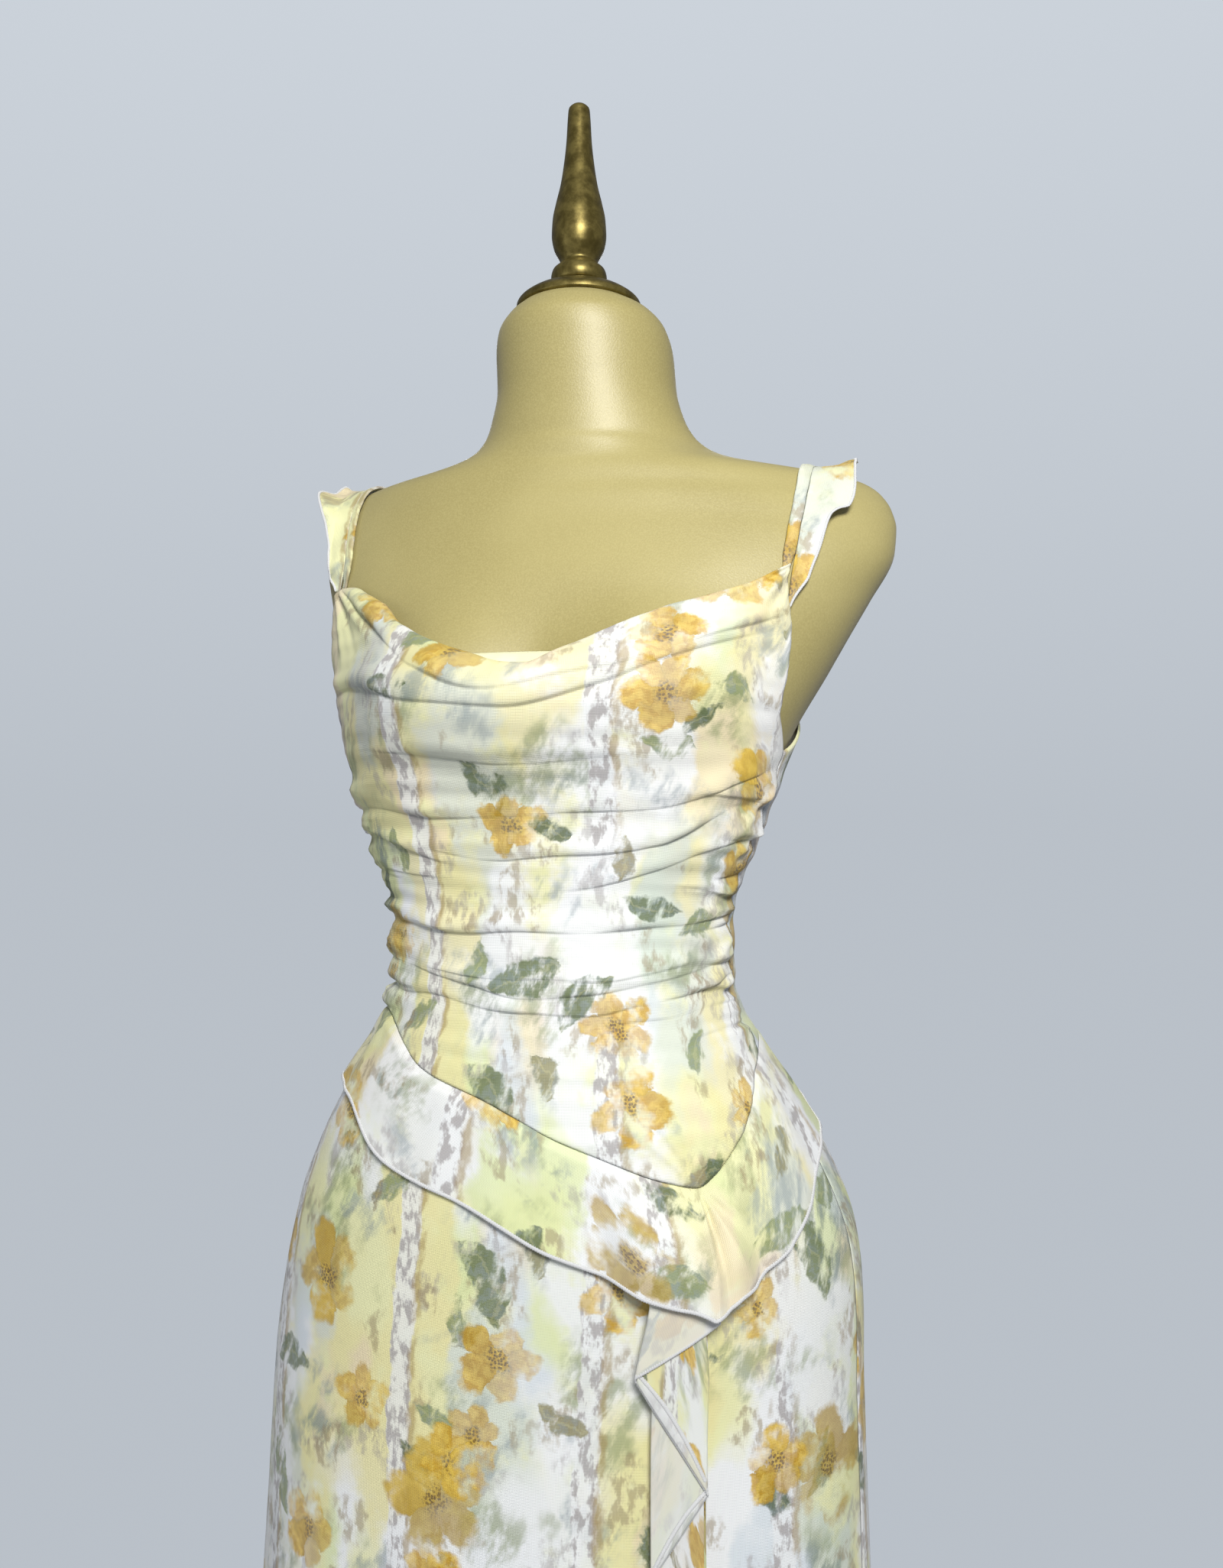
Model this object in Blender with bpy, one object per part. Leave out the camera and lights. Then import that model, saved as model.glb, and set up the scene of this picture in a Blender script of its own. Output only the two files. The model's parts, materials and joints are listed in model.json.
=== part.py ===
"""Floral dress on a limbless dress form.

Millimetres, turned to metres at the end. +Z is up, the dress faces -Y, and +X is the wearer's
left. Angles run from 0 at the front, through 90 at the wearer's left side, to 180 at the back.
"""

import bpy
import numpy as np

# Driving sizes
HEM_HEIGHT = 160.0
TORSO_BOTTOM = 700.0
NECK_TOP = 1506.0
WALL = 1.2
RUFFLE_WALL = 1.0
SEAM_GAP = 0.4
SIDE_GAP = 0.7
SIDE_SEAM = 80.0
MEAN_RADIUS = 125.0
FORM_INSET = 2.0
SKIRT_OFF = 2.1
BODICE_OFF = 2.7
FLOUNCE_OFF = 4.2
FACING_INWARD = 3.0

# The form's sections, from the skirt's hem line up to the neck
BODY_COLUMNS = "height half_width front back side_power centre_y centre_x"
BODY = np.array([
    (160, 214, 128, 142, 1.00, -8, -14),
    (400, 208, 118, 134, 1.00, -6, -14),
    (600, 204, 108, 127, 0.97, -5, -14),
    (700, 201, 106, 128, 0.95, -5, -13),
    (800, 197, 106, 131, 0.93, -6, -11),
    (850, 193, 107, 130, 0.93, -8, -7),
    (900, 184, 106, 124, 0.93, -12, -3),
    (940, 168, 102, 114, 0.93, -16, -2),
    (980, 145, 95, 101, 0.94, -22, -2),
    (1015, 123, 87, 88, 0.95, -26, -1.5),
    (1050, 109, 80, 80, 0.95, -28, -2),
    (1090, 109, 82, 81, 0.95, -27, -3),
    (1145, 126.5, 92, 89, 0.94, -24, -2.5),
    (1200, 149, 96, 98, 0.94, -16, -4.5),
    (1250, 170, 95, 104, 0.95, -6, 1),
    (1300, 189, 90, 104, 1.00, 4, 7),
    (1332, 200, 82, 99, 1.05, 11, 10),
    (1348, 201, 78, 95, 1.15, 14, 10),
    (1360, 198, 75, 91, 1.28, 15, 10),
    (1370, 193, 72, 87, 1.42, 16, 9),
    (1378, 184, 70, 84, 1.52, 16, 8),
    (1384, 168, 68, 81, 1.58, 16, 7),
    (1388.5, 144, 66, 78, 1.60, 15, 6),
    (1392.5, 121, 65, 76, 1.55, 14, 5),
    (1398, 99, 64, 74, 1.45, 13, 5),
    (1404, 85, 62, 71, 1.30, 12, 5),
    (1413, 74, 60, 67, 1.12, 10, 5),
    (1426, 67, 58, 63, 1.00, 8, 4.5),
    (1446, 62, 57, 61, 1.00, 6, 4),
    (1470, 61, 57, 60, 1.00, 4, 3),
    (1488, 58, 55, 57, 1.00, 2, 2),
    (1500, 50, 48, 50, 1.00, 1, 1),
    (1506, 42, 42, 42, 1.00, 0, 0),
])

# The shoulder line drops to the wearer's left, as a slope that fades in and out with height
SHOULDER_SLOPE = 0.029

# The bust: how far out, where, and how wide
BUST_OUT = 38.0
BUST_X = 76.0
BUST_HEIGHT = 1226.0
BUST_WIDE = 44.0
BUST_ABOVE = 46.0
BUST_BELOW = 52.0

# Basque seam round the hips, as the height at each angle
SEAM_COLUMNS = "angle height flounce_width"
SEAM = np.array([
    (-180, 1022, 60),
    (-110, 1032, 58),
    (-75, 1032, 53),
    (-53, 1025, 52),
    (-32, 1004, 58),
    (-8, 988, 62),
    (6, 972, 66),
    (19, 958, 65),
    (31, 946, 65),
    (37, 943, 67),
    (42, 949, 64),
    (48, 959, 64),
    (56, 973, 65),
    (64, 988, 65),
    (74, 1004, 63),
    (90, 1016, 61),
    (120, 1022, 60),
    (180, 1022, 60),
])

# Front neckline, as the height across the cowl
COWL_COLUMNS = "across height stand_off"
COWL = np.array([
    (-1.0, 1305.5, 1),
    (-0.85, 1303.5, 2),
    (-0.7, 1296, 4),
    (-0.55, 1285.5, 6),
    (-0.4, 1266, 8),
    (-0.2, 1243, 10),
    (0.0, 1231, 10),
    (0.12, 1234, 10),
    (0.25, 1249.5, 9),
    (0.4, 1269, 7),
    (0.6, 1284, 5),
    (0.85, 1300, 2),
    (1.0, 1312, 1),
])

# Armhole edges of the front, as the angle at each height, and the top edge of the back
FRONT_EDGE_COLUMNS = "height wearers_right wearers_left"
FRONT_EDGE = np.array([
    (1195, 80, 80),
    (1221, 74, 66),
    (1242, 71, 61),
    (1271, 68, 54.5),
    (1290, 64, 49.5),
    (1309, 57, 46.5),
    (1324, 54, 45.5),
])
BACK_TOP_COLUMNS = "angle_from_middle height"
BACK_TOP = np.array([
    (0, 1231),
    (12, 1234),
    (24, 1246),
    (33, 1264),
    (38.5, 1288),
    (42.5, 1289),
    (47, 1270),
    (55, 1244),
    (66, 1226),
    (80, 1211),
    (92, 1200),
    (100, 1195),
])

# Angles of the cloth's columns, closer round the basque point and the tight curves
FRONT_COLUMNS = np.array([
    -80, -72, -64, -56, -48, -40, -32, -24, -16, -8, 0, 7,
    14, 20, 26, 31, 37, 42, 48, 54, 60, 67, 74, 80,
])

BACK_COLUMNS = np.array([
    80, 88, 96, 104, 111, 118, 124, 130, 137, 145, 154, 166, 180,
    194, 206, 215, 223, 230, 236, 242, 249, 256, 264, 272, 280,
])

BODICE_BACK_HALF = np.array([0, 10, 20, 29, 35, 38.5, 42.5, 47, 55, 66, 78, 90, 100.0])

# Cowl rolls and ruching creases of the front, each as its height at seven angles
STATIONS = np.array([-78.0, -52.0, -26.0, 0.0, 26.0, 52.0, 78.0])
CREASE_COLUMNS = "seven heights, depth, roll, from_angle, to_angle"
CREASES = np.array([
    (1322, 1292, 1249, 1224, 1250, 1296, 1320, 7.0, 13, -66, 54),
    (1252, 1236, 1222, 1217, 1232, 1281, 1318, 6.0, 12, -90, 52),
    (1224, 1207, 1193, 1186, 1190, 1206, 1226, 2.4, 13, -60, 62),
    (1196, 1184, 1175, 1171, 1172, 1186, 1206, 1.6, 11, -90, -30),
    (1160, 1156, 1154, 1155, 1156, 1174, 1192, 3.0, 12, -90, 90),
    (1150, 1146, 1131, 1129, 1133, 1148, 1168, 2.8, 10, -90, 90),
    (1131, 1125, 1111, 1106, 1108, 1122, 1140, 2.4, 9, -90, -14),
    (1112, 1107, 1103, 1106, 1109, 1114, 1120, 1.8, 8, 34, 90),
    (1086, 1084, 1087, 1089, 1089, 1097, 1093, 3.4, 10, -90, 90),
    (1066, 1060, 1054, 1054, 1055, 1058, 1066, 2.8, 9, -90, 90),
    (1049, 1048, 1046, 1046, 1049, 1049, 1047, 2.0, 6, -90, 90),
    (1034, 1034, 1035, 1036, 1040, 1046, 1030, 1.6, 8, 4, 90),
])

# Side gathers: heights of the notches that the ruching draws in, and how far it puffs between
GATHER_HEIGHTS = np.array([1178, 1153, 1127, 1108, 1089, 1068, 1044, 1026])
GATHER_PUFF = 3.4
GATHER_REACH = 22.0

# Straps, on the body by an angle over the shoulder, 0 level in front and 90 on top
SHOULDER_Y = 14.0
SHOULDER_HEIGHT = 1320.0
STRAP_WIDTH = 7.5
FLUTTER_GAP = 1.0
STRAP_COLUMNS = "over inner_edge flutter_width flutter_lift"
STRAP_LEFT = np.array([
    (-30, 135.5, 3, 1),
    (-24, 135.5, 7.5, 2),
    (-14, 135.5, 10.5, 3),
    (-3, 136, 13, 3.5),
    (10, 136.8, 15, 4.5),
    (22, 138.4, 16.5, 6),
    (28, 139.2, 20, 9),
    (34, 139.7, 26, 12),
    (42, 140.5, 28, 14),
    (54, 142.2, 28, 14),
    (66, 144, 27, 14),
    (90, 146.5, 25, 13),
    (120, 146, 21, 10),
    (150, 139, 14, 6),
    (175, 127, 6, 3),
    (201, 113, 3, 1),
])
STRAP_RIGHT = np.array([
    (-18, 158, 3, 1),
    (-12, 158, 7.5, 3),
    (-3, 157.8, 12, 4.5),
    (8, 158, 15.5, 6),
    (23, 159.6, 16.5, 7),
    (40, 161.8, 18.5, 9),
    (53, 162.6, 21.5, 11),
    (63, 161.6, 25, 13),
    (72, 158, 29, 15),
    (81, 155, 30, 15),
    (95, 153, 28, 13),
    (120, 150, 21, 10),
    (150, 143, 14, 6),
    (175, 131, 6, 3),
    (201, 117, 3, 1),
])
STRAP_START_LEFT = -8.0
STRAP_START_RIGHT = -4.0
STRAP_END = 199.0
FLUTTER_START_LEFT = -28.0
FLUTTER_START_RIGHT = -12.0
FLUTTER_END = 178.0

# Cascade ruffle: layers from the skirt outward, folding between two angles
CASCADE_LEFT = 23.5
CASCADE_RIGHT = 35.5
CASCADE_TIP = 38.0
CASCADE_TOP = 893.0
CASCADE_OFF = 4.0
CASCADE_STEP = 1.9
CASCADE_MM_PER_DEGREE = 3.4
CASCADE_HEMS = np.array([541.0, 604.0, 657.0, 725.0, 773.0, 841.0, 871.0])

# Turned brass and the stand, as heights and radii
CAP = np.array([
    (1506.4, 0.0),
    (1506.4, 40.5),
    (1507.4, 42.2),
    (1509.2, 41.8),
    (1513.0, 36.5),
    (1517.0, 27.5),
    (1520.0, 18.0),
    (1520.6, 0.0),
])
FINIAL = np.array([
    (1521.0, 0.0),
    (1521.0, 15.0),
    (1522.5, 18.0),
    (1525.5, 18.7),
    (1529.0, 18.0),
    (1532.0, 15.0),
    (1535.0, 13.0),
    (1539.0, 14.2),
    (1545.0, 17.3),
    (1554.0, 18.8),
    (1565.0, 18.2),
    (1577.0, 15.8),
    (1589.0, 12.8),
    (1602.0, 10.6),
    (1620.0, 8.5),
    (1634.0, 7.4),
    (1640.0, 6.6),
    (1643.0, 3.6),
    (1643.6, 0.0),
])
COLLAR = np.array([
    (672.0, 0.0),
    (672.0, 22.0),
    (676.0, 26.0),
    (690.0, 34.0),
    (699.6, 36.0),
    (699.6, 0.0),
])
POLE = np.array([
    (48.4, 0.0),
    (48.4, 12.5),
    (671.6, 12.5),
    (671.6, 0.0),
])
FOOT = np.array([
    (0.0, 0.0),
    (0.0, 165.0),
    (4.0, 167.0),
    (10.0, 164.0),
    (15.0, 140.0),
    (20.0, 80.0),
    (30.0, 36.0),
    (44.0, 24.0),
    (48.0, 20.0),
    (48.0, 0.0),
])


def slopes(x, y):
    """Tangents of a curve that never swings past its table."""
    step = np.diff(x)[:, None]
    rise = np.diff(y, axis=0) / step
    out = np.zeros_like(y)
    after = 2 * step[1:] + step[:-1]
    before = step[1:] + 2 * step[:-1]
    same = rise[:-1] * rise[1:] > 0
    low = np.where(same, rise[:-1], 1)
    high = np.where(same, rise[1:], 1)
    out[1:-1] = np.where(same, (after + before) / (after / low + before / high), 0)
    out[0] = rise[0]
    out[-1] = rise[-1]
    return out


def curve(x, xs, ys, tangents):
    """The smooth curve through a table, for each column of ys."""
    x = np.clip(x, xs[0], xs[-1])
    k = np.clip(np.searchsorted(xs, x, side="right") - 1, 0, len(xs) - 2)
    step = (xs[k + 1] - xs[k])[..., None]
    t = (x - xs[k])[..., None] / step
    value = ys[k] * (1 + 2 * t) * (1 - t) ** 2 + ys[k + 1] * t * t * (3 - 2 * t)
    value = value + tangents[k] * step * t * (1 - t) ** 2
    value = value + tangents[k + 1] * step * t * t * (t - 1)
    return np.moveaxis(value, -1, 0)


def table(rows):
    """A function that reads a table's columns by its first one."""
    rows = np.asarray(rows, float)
    tangents = slopes(rows[:, 0], rows[:, 1:])
    return lambda x: curve(np.asarray(x, float), rows[:, 0], rows[:, 1:], tangents)


body = table(BODY)
seam = table(SEAM)
cowl = table(COWL)
front_edge = table(FRONT_EDGE)
back_top = table(BACK_TOP)
straps = {1: table(STRAP_LEFT), -1: table(STRAP_RIGHT)}


def smooth(x):
    x = np.clip(x, 0, 1)
    return x * x * (3 - 2 * x)


def bust(x, z, bridged):
    """The bust's swell; cloth bridges straight across between the two sides."""
    across = np.abs(x)
    if bridged:
        across = np.maximum(across, BUST_X)
    tall = np.where(z > BUST_HEIGHT, BUST_ABOVE, BUST_BELOW)
    away = ((across - BUST_X) / BUST_WIDE) ** 2 + ((z - BUST_HEIGHT) / tall) ** 2
    return BUST_OUT * np.exp(-away)


def slope_at(z):
    return SHOULDER_SLOPE * smooth((z - 1210) / 120) * smooth((1470 - z) / 60)


def place(angle, z, bridged=True):
    """A point of the form at this angle (radians) and height."""
    width, front, back, power, centre_y, centre_x = body(z)
    sine = np.sin(angle)
    cosine = np.cos(angle)
    x = width * sine
    deep = np.where(cosine > 0, front, back)
    y = -deep * np.sign(cosine) * np.abs(cosine) ** power
    y = y - np.where(cosine > 0, np.abs(cosine) ** 0.8, 0) * bust(x, z, bridged)
    return np.stack([centre_x + x, centre_y + y, z - slope_at(z) * x], -1)


def skin(degrees, z, off, bridged=True):
    """The same point moved out from the form by off."""
    degrees, z, off = np.broadcast_arrays(*(np.asarray(v, float) for v in (degrees, z, off)))
    angle = np.radians(degrees)
    tiny = 1e-3
    du = place(angle + tiny, z, bridged) - place(angle - tiny, z, bridged)
    dv = place(angle, z + 0.5, bridged) - place(angle, z - 0.5, bridged)
    n = np.cross(du, dv)
    n = n / np.linalg.norm(n, axis=-1, keepdims=True)
    return place(angle, z, bridged) + n * off[..., None]


def grid_normals(p, wrap):
    """Outward normals of a grid whose first index runs round and second runs up."""
    if wrap:
        du = np.roll(p, -1, 0) - np.roll(p, 1, 0)
    else:
        du = np.gradient(p, axis=0)
    dv = np.gradient(p, axis=1)
    n = np.cross(du, dv)
    return n / np.linalg.norm(n, axis=-1, keepdims=True)


def square_cut(n, p, wrap):
    """Keeps each rim's cut face from leaning over its seam."""
    n = n.copy()
    for row in (0, -1):
        n[:, row, 2] = 0
    if not wrap:
        for side, beside in ((0, 1), (-1, -2)):
            along = p[beside] - p[side]
            along = along / np.linalg.norm(along, axis=-1, keepdims=True)
            n[side] = n[side] - along * (n[side] * along).sum(-1, keepdims=True)
    return n / np.linalg.norm(n, axis=-1, keepdims=True)


def make(name, points, faces):
    mesh = bpy.data.meshes.new(name)
    mesh.from_pydata((np.asarray(points) / 1000).tolist(), [], faces)
    mesh.update()
    obj = bpy.data.objects.new(name, mesh)
    bpy.context.scene.collection.objects.link(obj)
    return obj


def wall(name, outer, thick, wrap=False, square=True):
    """A closed cloth wall from its outer face, as quads."""
    n = grid_normals(outer, wrap)
    if square:
        n = square_cut(n, outer, wrap)
    inner = outer - n * thick
    across, up = outer.shape[:2]
    base = across * up

    def at(side, i, j):
        return side * base + (i % across) * up + j

    faces = []
    spans = across if wrap else across - 1
    for i in range(spans):
        for j in range(up - 1):
            faces.append((at(0, i, j), at(0, i + 1, j), at(0, i + 1, j + 1), at(0, i, j + 1)))
            faces.append((at(1, i, j), at(1, i, j + 1), at(1, i + 1, j + 1), at(1, i + 1, j)))
        faces.append((at(0, i, 0), at(1, i, 0), at(1, i + 1, 0), at(0, i + 1, 0)))
        top = up - 1
        faces.append((at(0, i, top), at(0, i + 1, top), at(1, i + 1, top), at(1, i, top)))
    if not wrap:
        last = across - 1
        for j in range(up - 1):
            faces.append((at(0, 0, j), at(0, 0, j + 1), at(1, 0, j + 1), at(1, 0, j)))
            faces.append((at(0, last, j), at(1, last, j), at(1, last, j + 1), at(0, last, j + 1)))
    points = np.concatenate([outer.reshape(-1, 3), inner.reshape(-1, 3)])
    return make(name, points, faces)


def turned(name, profile, sides):
    """A solid of revolution about the pole's axis."""
    angles = np.radians(np.arange(sides) * 360 / sides)
    rings = profile[1:-1]
    points = [(0, 0, profile[0, 0])]
    for z, r in rings:
        points += [(r * np.sin(a), -r * np.cos(a), z) for a in angles]
    points.append((0, 0, profile[-1, 0]))
    top = len(points) - 1
    faces = []
    for i in range(sides):
        j = (i + 1) % sides
        faces.append((0, 1 + j, 1 + i))
        for k in range(len(rings) - 1):
            low = 1 + k * sides
            faces.append((low + i, low + j, low + sides + j, low + sides + i))
        last = 1 + (len(rings) - 1) * sides
        faces.append((last + i, last + j, top))
    return make(name, points, faces)


def torso():
    """The jersey-covered form: rings closer together over the shoulders."""
    heights = np.concatenate([
        np.array([TORSO_BOTTOM, 704, 714, 735, 775, 820, 865, 905, 940, 968, 992, 1014]),
        np.array([1034, 1058, 1090, 1130, 1170, 1200, 1226, 1252, 1280, 1308, 1332]),
        np.array([1348, 1361, 1371, 1379, 1384, 1389, 1394, 1400, 1407, 1418]),
        np.array([1436, 1465, 1488, 1499, NECK_TOP]),
    ])
    sides = 30
    degrees = np.arange(sides) * 360 / sides
    grid_a, grid_z = np.meshgrid(degrees, heights, indexing="ij")
    tuck = 10 * (1 - smooth((grid_z - TORSO_BOTTOM) / 90))
    tuck = tuck + 12 * (1 - np.sqrt(np.clip((grid_z - TORSO_BOTTOM) / 14, 0, 1)))
    tuck = tuck + FORM_INSET * smooth((1330 - grid_z) / 60) + 0 * grid_a
    rings = skin(grid_a, grid_z, 0, bridged=False)
    middle = np.stack([body(grid_z)[5], body(grid_z)[4], grid_z], -1)
    out = rings - middle
    long = np.linalg.norm(out[..., :2], axis=-1, keepdims=True)
    tuck = tuck[..., None] / long
    rings[..., :2] = rings[..., :2] - out[..., :2] * tuck
    points = [tuple(middle[0, 0])]
    points += [tuple(p) for p in rings.transpose(1, 0, 2).reshape(-1, 3)]
    points.append((0, 0, NECK_TOP))
    top = len(points) - 1
    faces = []
    for i in range(sides):
        j = (i + 1) % sides
        faces.append((0, 1 + j, 1 + i))
        for k in range(len(heights) - 1):
            low = 1 + k * sides
            faces.append((low + i, low + j, low + sides + j, low + sides + i))
        last = 1 + (len(heights) - 1) * sides
        faces.append((last + i, last + j, top))
    return make("form_torso", points, faces)


def crease_field(degrees, z):
    """How far the front stands off its base: rolls that hang over drawn-in creases."""
    lift = np.zeros(np.shape(degrees))
    for row in CREASES:
        depth, roll, start, end = row[7:]
        line = table(np.column_stack([STATIONS, row[:7]]))(degrees)[0]
        fade = smooth((degrees - start) / 14) * smooth((end - degrees) / 14)
        up = (z - line) / roll
        crest = np.exp(-((up - 0.75) / 0.6) ** 2)
        lift = lift + depth * fade * crest
    return lift


def side_gathers(degrees, z):
    """Puffs between the notches that the ruching draws into both side seams."""
    gap = np.min(np.abs(z[..., None] - GATHER_HEIGHTS), axis=-1)
    puff = GATHER_PUFF * smooth(gap / 10)
    near = np.exp(-((SIDE_SEAM - np.abs(degrees)) / GATHER_REACH) ** 2)
    live = smooth((1186 - z) / 12)
    return puff * near * live


def cowl_off(z, across):
    """How far the cowl swings off the chest towards its top edge."""
    top, stand = cowl(across)
    return stand * smooth((z - (top - 70)) / 62)


def front_angle(across, z):
    """The angle of a point across the front, between its side and armhole edges."""
    right, left = front_edge(z)
    trim = np.degrees(SIDE_GAP / 2 / MEAN_RADIUS)
    return np.where(across < 0, across * (right - trim), across * (left - trim))


def bodice_front():
    across = FRONT_COLUMNS / SIDE_SEAM
    up = np.linspace(0, 1, 38)
    u, v = np.meshgrid(across, up, indexing="ij")
    low = seam(u * SIDE_SEAM)[0] + SEAM_GAP
    high = cowl(u)[0]
    z = low + (high - low) * v
    degrees = front_angle(u, z)
    off = BODICE_OFF + cowl_off(z, u) + crease_field(degrees, z) + side_gathers(degrees, z)
    return wall("bodice_front", skin(degrees, z, off), WALL)


def neck_facing():
    across = np.linspace(-0.5, 0.42, 15)
    up = np.linspace(0, 1, 5)
    u, v = np.meshgrid(across, up, indexing="ij")
    peek = 7 * smooth((u + 0.5) / 0.25) * smooth((0.25 - u) / 0.25) - 4
    high = cowl(u)[0] + peek
    z = high - 34 * (1 - v)
    off = BODICE_OFF + cowl_off(z, u) - FACING_INWARD
    return wall("neck_facing", skin(front_angle(u, z), z, off), RUFFLE_WALL)


def bodice_back():
    half = BODICE_BACK_HALF.copy()
    half[-1] -= np.degrees(SIDE_GAP / 2 / MEAN_RADIUS)
    around = np.concatenate([-half[:0:-1], half])
    up = np.linspace(0, 1, 14)
    a, v = np.meshgrid(around, up, indexing="ij")
    low = seam(np.where(a > 0, a - 180, a + 180))[0] + SEAM_GAP
    high = back_top(np.abs(a))[0]
    z = low + (high - low) * v
    gap = np.min(np.abs(z[..., None] - GATHER_HEIGHTS), axis=-1)
    near = np.exp(-((100 - np.abs(a)) / 14) ** 2)
    off = BODICE_OFF + 0.7 * GATHER_PUFF * smooth(gap / 10) * near * smooth((1186 - z) / 12)
    return wall("bodice_back", skin(180 + a, z, off), WALL)


def skirt_off(degrees, z):
    """Soft hanging folds that start below the hip and deepen to the hem."""
    deep = smooth((840 - z) / 520) * 5.0
    turn = np.radians(degrees)
    wave = np.sin(7 * turn + 0.6) + 0.6 * np.sin(11 * turn + 2.0 + z / 400)
    return SKIRT_OFF + deep * (1.3 + wave)


def skirt(name, columns):
    around = columns.astype(float)
    trim = np.degrees(SIDE_GAP / 2 / MEAN_RADIUS)
    around[0] += trim
    around[-1] -= trim
    rows = np.array([0, 0.18, 0.36, 0.52, 0.66, 0.77, 0.85, 0.905, 0.945, 0.974, 1.0])
    a, v = np.meshgrid(around, rows, indexing="ij")
    turn = np.where(a > 180, a - 360, a)
    high = seam(turn)[0] - SEAM_GAP
    z = HEM_HEIGHT + (high - HEM_HEIGHT) * v
    return wall(name, skin(a, z, skirt_off(a, z)), WALL)


def hip_flounce():
    around = np.concatenate([
        np.linspace(-180, -80, 14, endpoint=False),
        np.linspace(-80, 16, 16, endpoint=False),
        np.array([16, 20, 23.5, 27, 29, 31, 33, 35, 37, 39, 41, 43, 45.5, 48, 51]),
        np.linspace(55, 110, 13, endpoint=False),
        np.linspace(110, 180, 10, endpoint=False),
    ])
    drop = np.array([1.0, 0.78, 0.52, 0.24, 0.0])
    a, t = np.meshgrid(around, drop, indexing="ij")
    high, width = seam(a)
    z = high - SEAM_GAP - width * t
    turn = np.radians(a)
    out = 3.0 * t
    over_cascade = smooth((a - 15) / 9) * smooth((48 - a) / 9)
    out = out + 11.5 * over_cascade * smooth(t / 0.75)
    back = smooth((np.abs(a) - 66) / 30)
    behind = smooth((np.abs(a) - 95) / 30)
    out = out + back * t ** 1.4 * (2.2 + 2.8 * behind + (2 + 2.5 * behind) * np.sin(9 * turn + 0.8))
    out = out + (1 - back) * t ** 1.4 * (1.2 + 1.2 * np.sin(8 * turn + 1.0))
    fold = np.exp(-((a - 35.5) / 2.6) ** 2) - 0.7 * np.exp(-((a - 40.5) / 2.2) ** 2)
    out = out + 2.4 * fold * smooth(t / 0.5)
    return wall("hip_flounce", skin(a, z, FLOUNCE_OFF + out), WALL, wrap=True)


def shoulder_hit(side, across, over):
    """Where a ray over the shoulder leaves the form, and the ray."""
    angle = np.radians(over)
    near = np.zeros(np.shape(across))
    far = near + 170.0
    for _ in range(40):
        middle = (near + far) / 2
        y = SHOULDER_Y - middle * np.cos(angle)
        z = SHOULDER_HEIGHT + middle * np.sin(angle)
        z = z + slope_at(z) * side * across
        width, front, back, power, centre_y, _unused = body(z)
        deep = np.where(y < centre_y, front, back)
        inside = (across / width) ** 2 + (np.abs(y - centre_y) / deep) ** (2 / power) < 1
        inside = inside & (z < NECK_TOP)
        near = np.where(inside, middle, near)
        far = np.where(inside, far, middle)
    return near


def over_shoulder(side, across, over, off):
    """A point off units outside the form, by its distance from the middle and the angle over."""
    angle = np.radians(over)
    limit = np.minimum(across, 178 + 6 * np.sin(angle))
    reach = shoulder_hit(side, limit, over) + off
    y = SHOULDER_Y - reach * np.cos(angle)
    z = SHOULDER_HEIGHT + reach * np.sin(angle)
    return np.stack([body(z)[5] + side * across, y, z], -1)


def strap_piece(name, side, start):
    over = np.linspace(start, STRAP_END, 22)
    t = np.array([0.0, 0.5, 1.0])
    a, w = np.meshgrid(over, t, indexing="ij")
    across = straps[side](a)[0] + STRAP_WIDTH * w
    p = over_shoulder(side, across, a, 2.9 + 0.6 * np.sin(np.pi * w))
    if side > 0:
        p = p[:, ::-1]
    return wall(name, p, WALL, square=False)


def flutter_piece(name, side, start):
    over = np.linspace(start, FLUTTER_END, 32)
    t = np.linspace(0, 1, 5)
    a, w = np.meshgrid(over, t, indexing="ij")
    inner, width, lift = straps[side](a)
    live = smooth((a - start) / 24)
    root = inner + STRAP_WIDTH + FLUTTER_GAP
    across = root + width * w
    ruffle = 0.16 * width * np.sin(np.radians(a) * 7 + 0.5)
    off = 2.9 + (lift + ruffle * live) * w ** 1.3
    off = np.maximum(off, 2.5 + 1.2 * w)
    p = over_shoulder(side, across, a, off)
    if side > 0:
        p = p[:, ::-1]
    return wall(name, p, RUFFLE_WALL, square=False)


def cascade_line():
    """The folded strip seen from above: degrees and stand-off, with each point's layer place."""
    layers = len(CASCADE_HEMS) - 1
    radius = CASCADE_STEP / 2
    line = []
    for k in range(layers):
        rightward = k % 2 == 0
        start, end = CASCADE_LEFT, CASCADE_RIGHT
        if rightward:
            start, end = end, start
        if k == layers - 1:
            end = CASCADE_TIP
        off = CASCADE_OFF + k * CASCADE_STEP
        for s in (0.06, 0.35, 0.65, 0.94):
            line.append((start + (end - start) * s, off, k + s))
        if k < layers - 1:
            away = 1 if end > start else -1
            for turn in (45, 135):
                r = np.radians(turn)
                line.append((
                    end - away * 0.5 + away * radius * np.sin(r) / CASCADE_MM_PER_DEGREE,
                    off + radius - radius * np.cos(r),
                    k + 1.0,
                ))
    return np.array(line)


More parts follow.
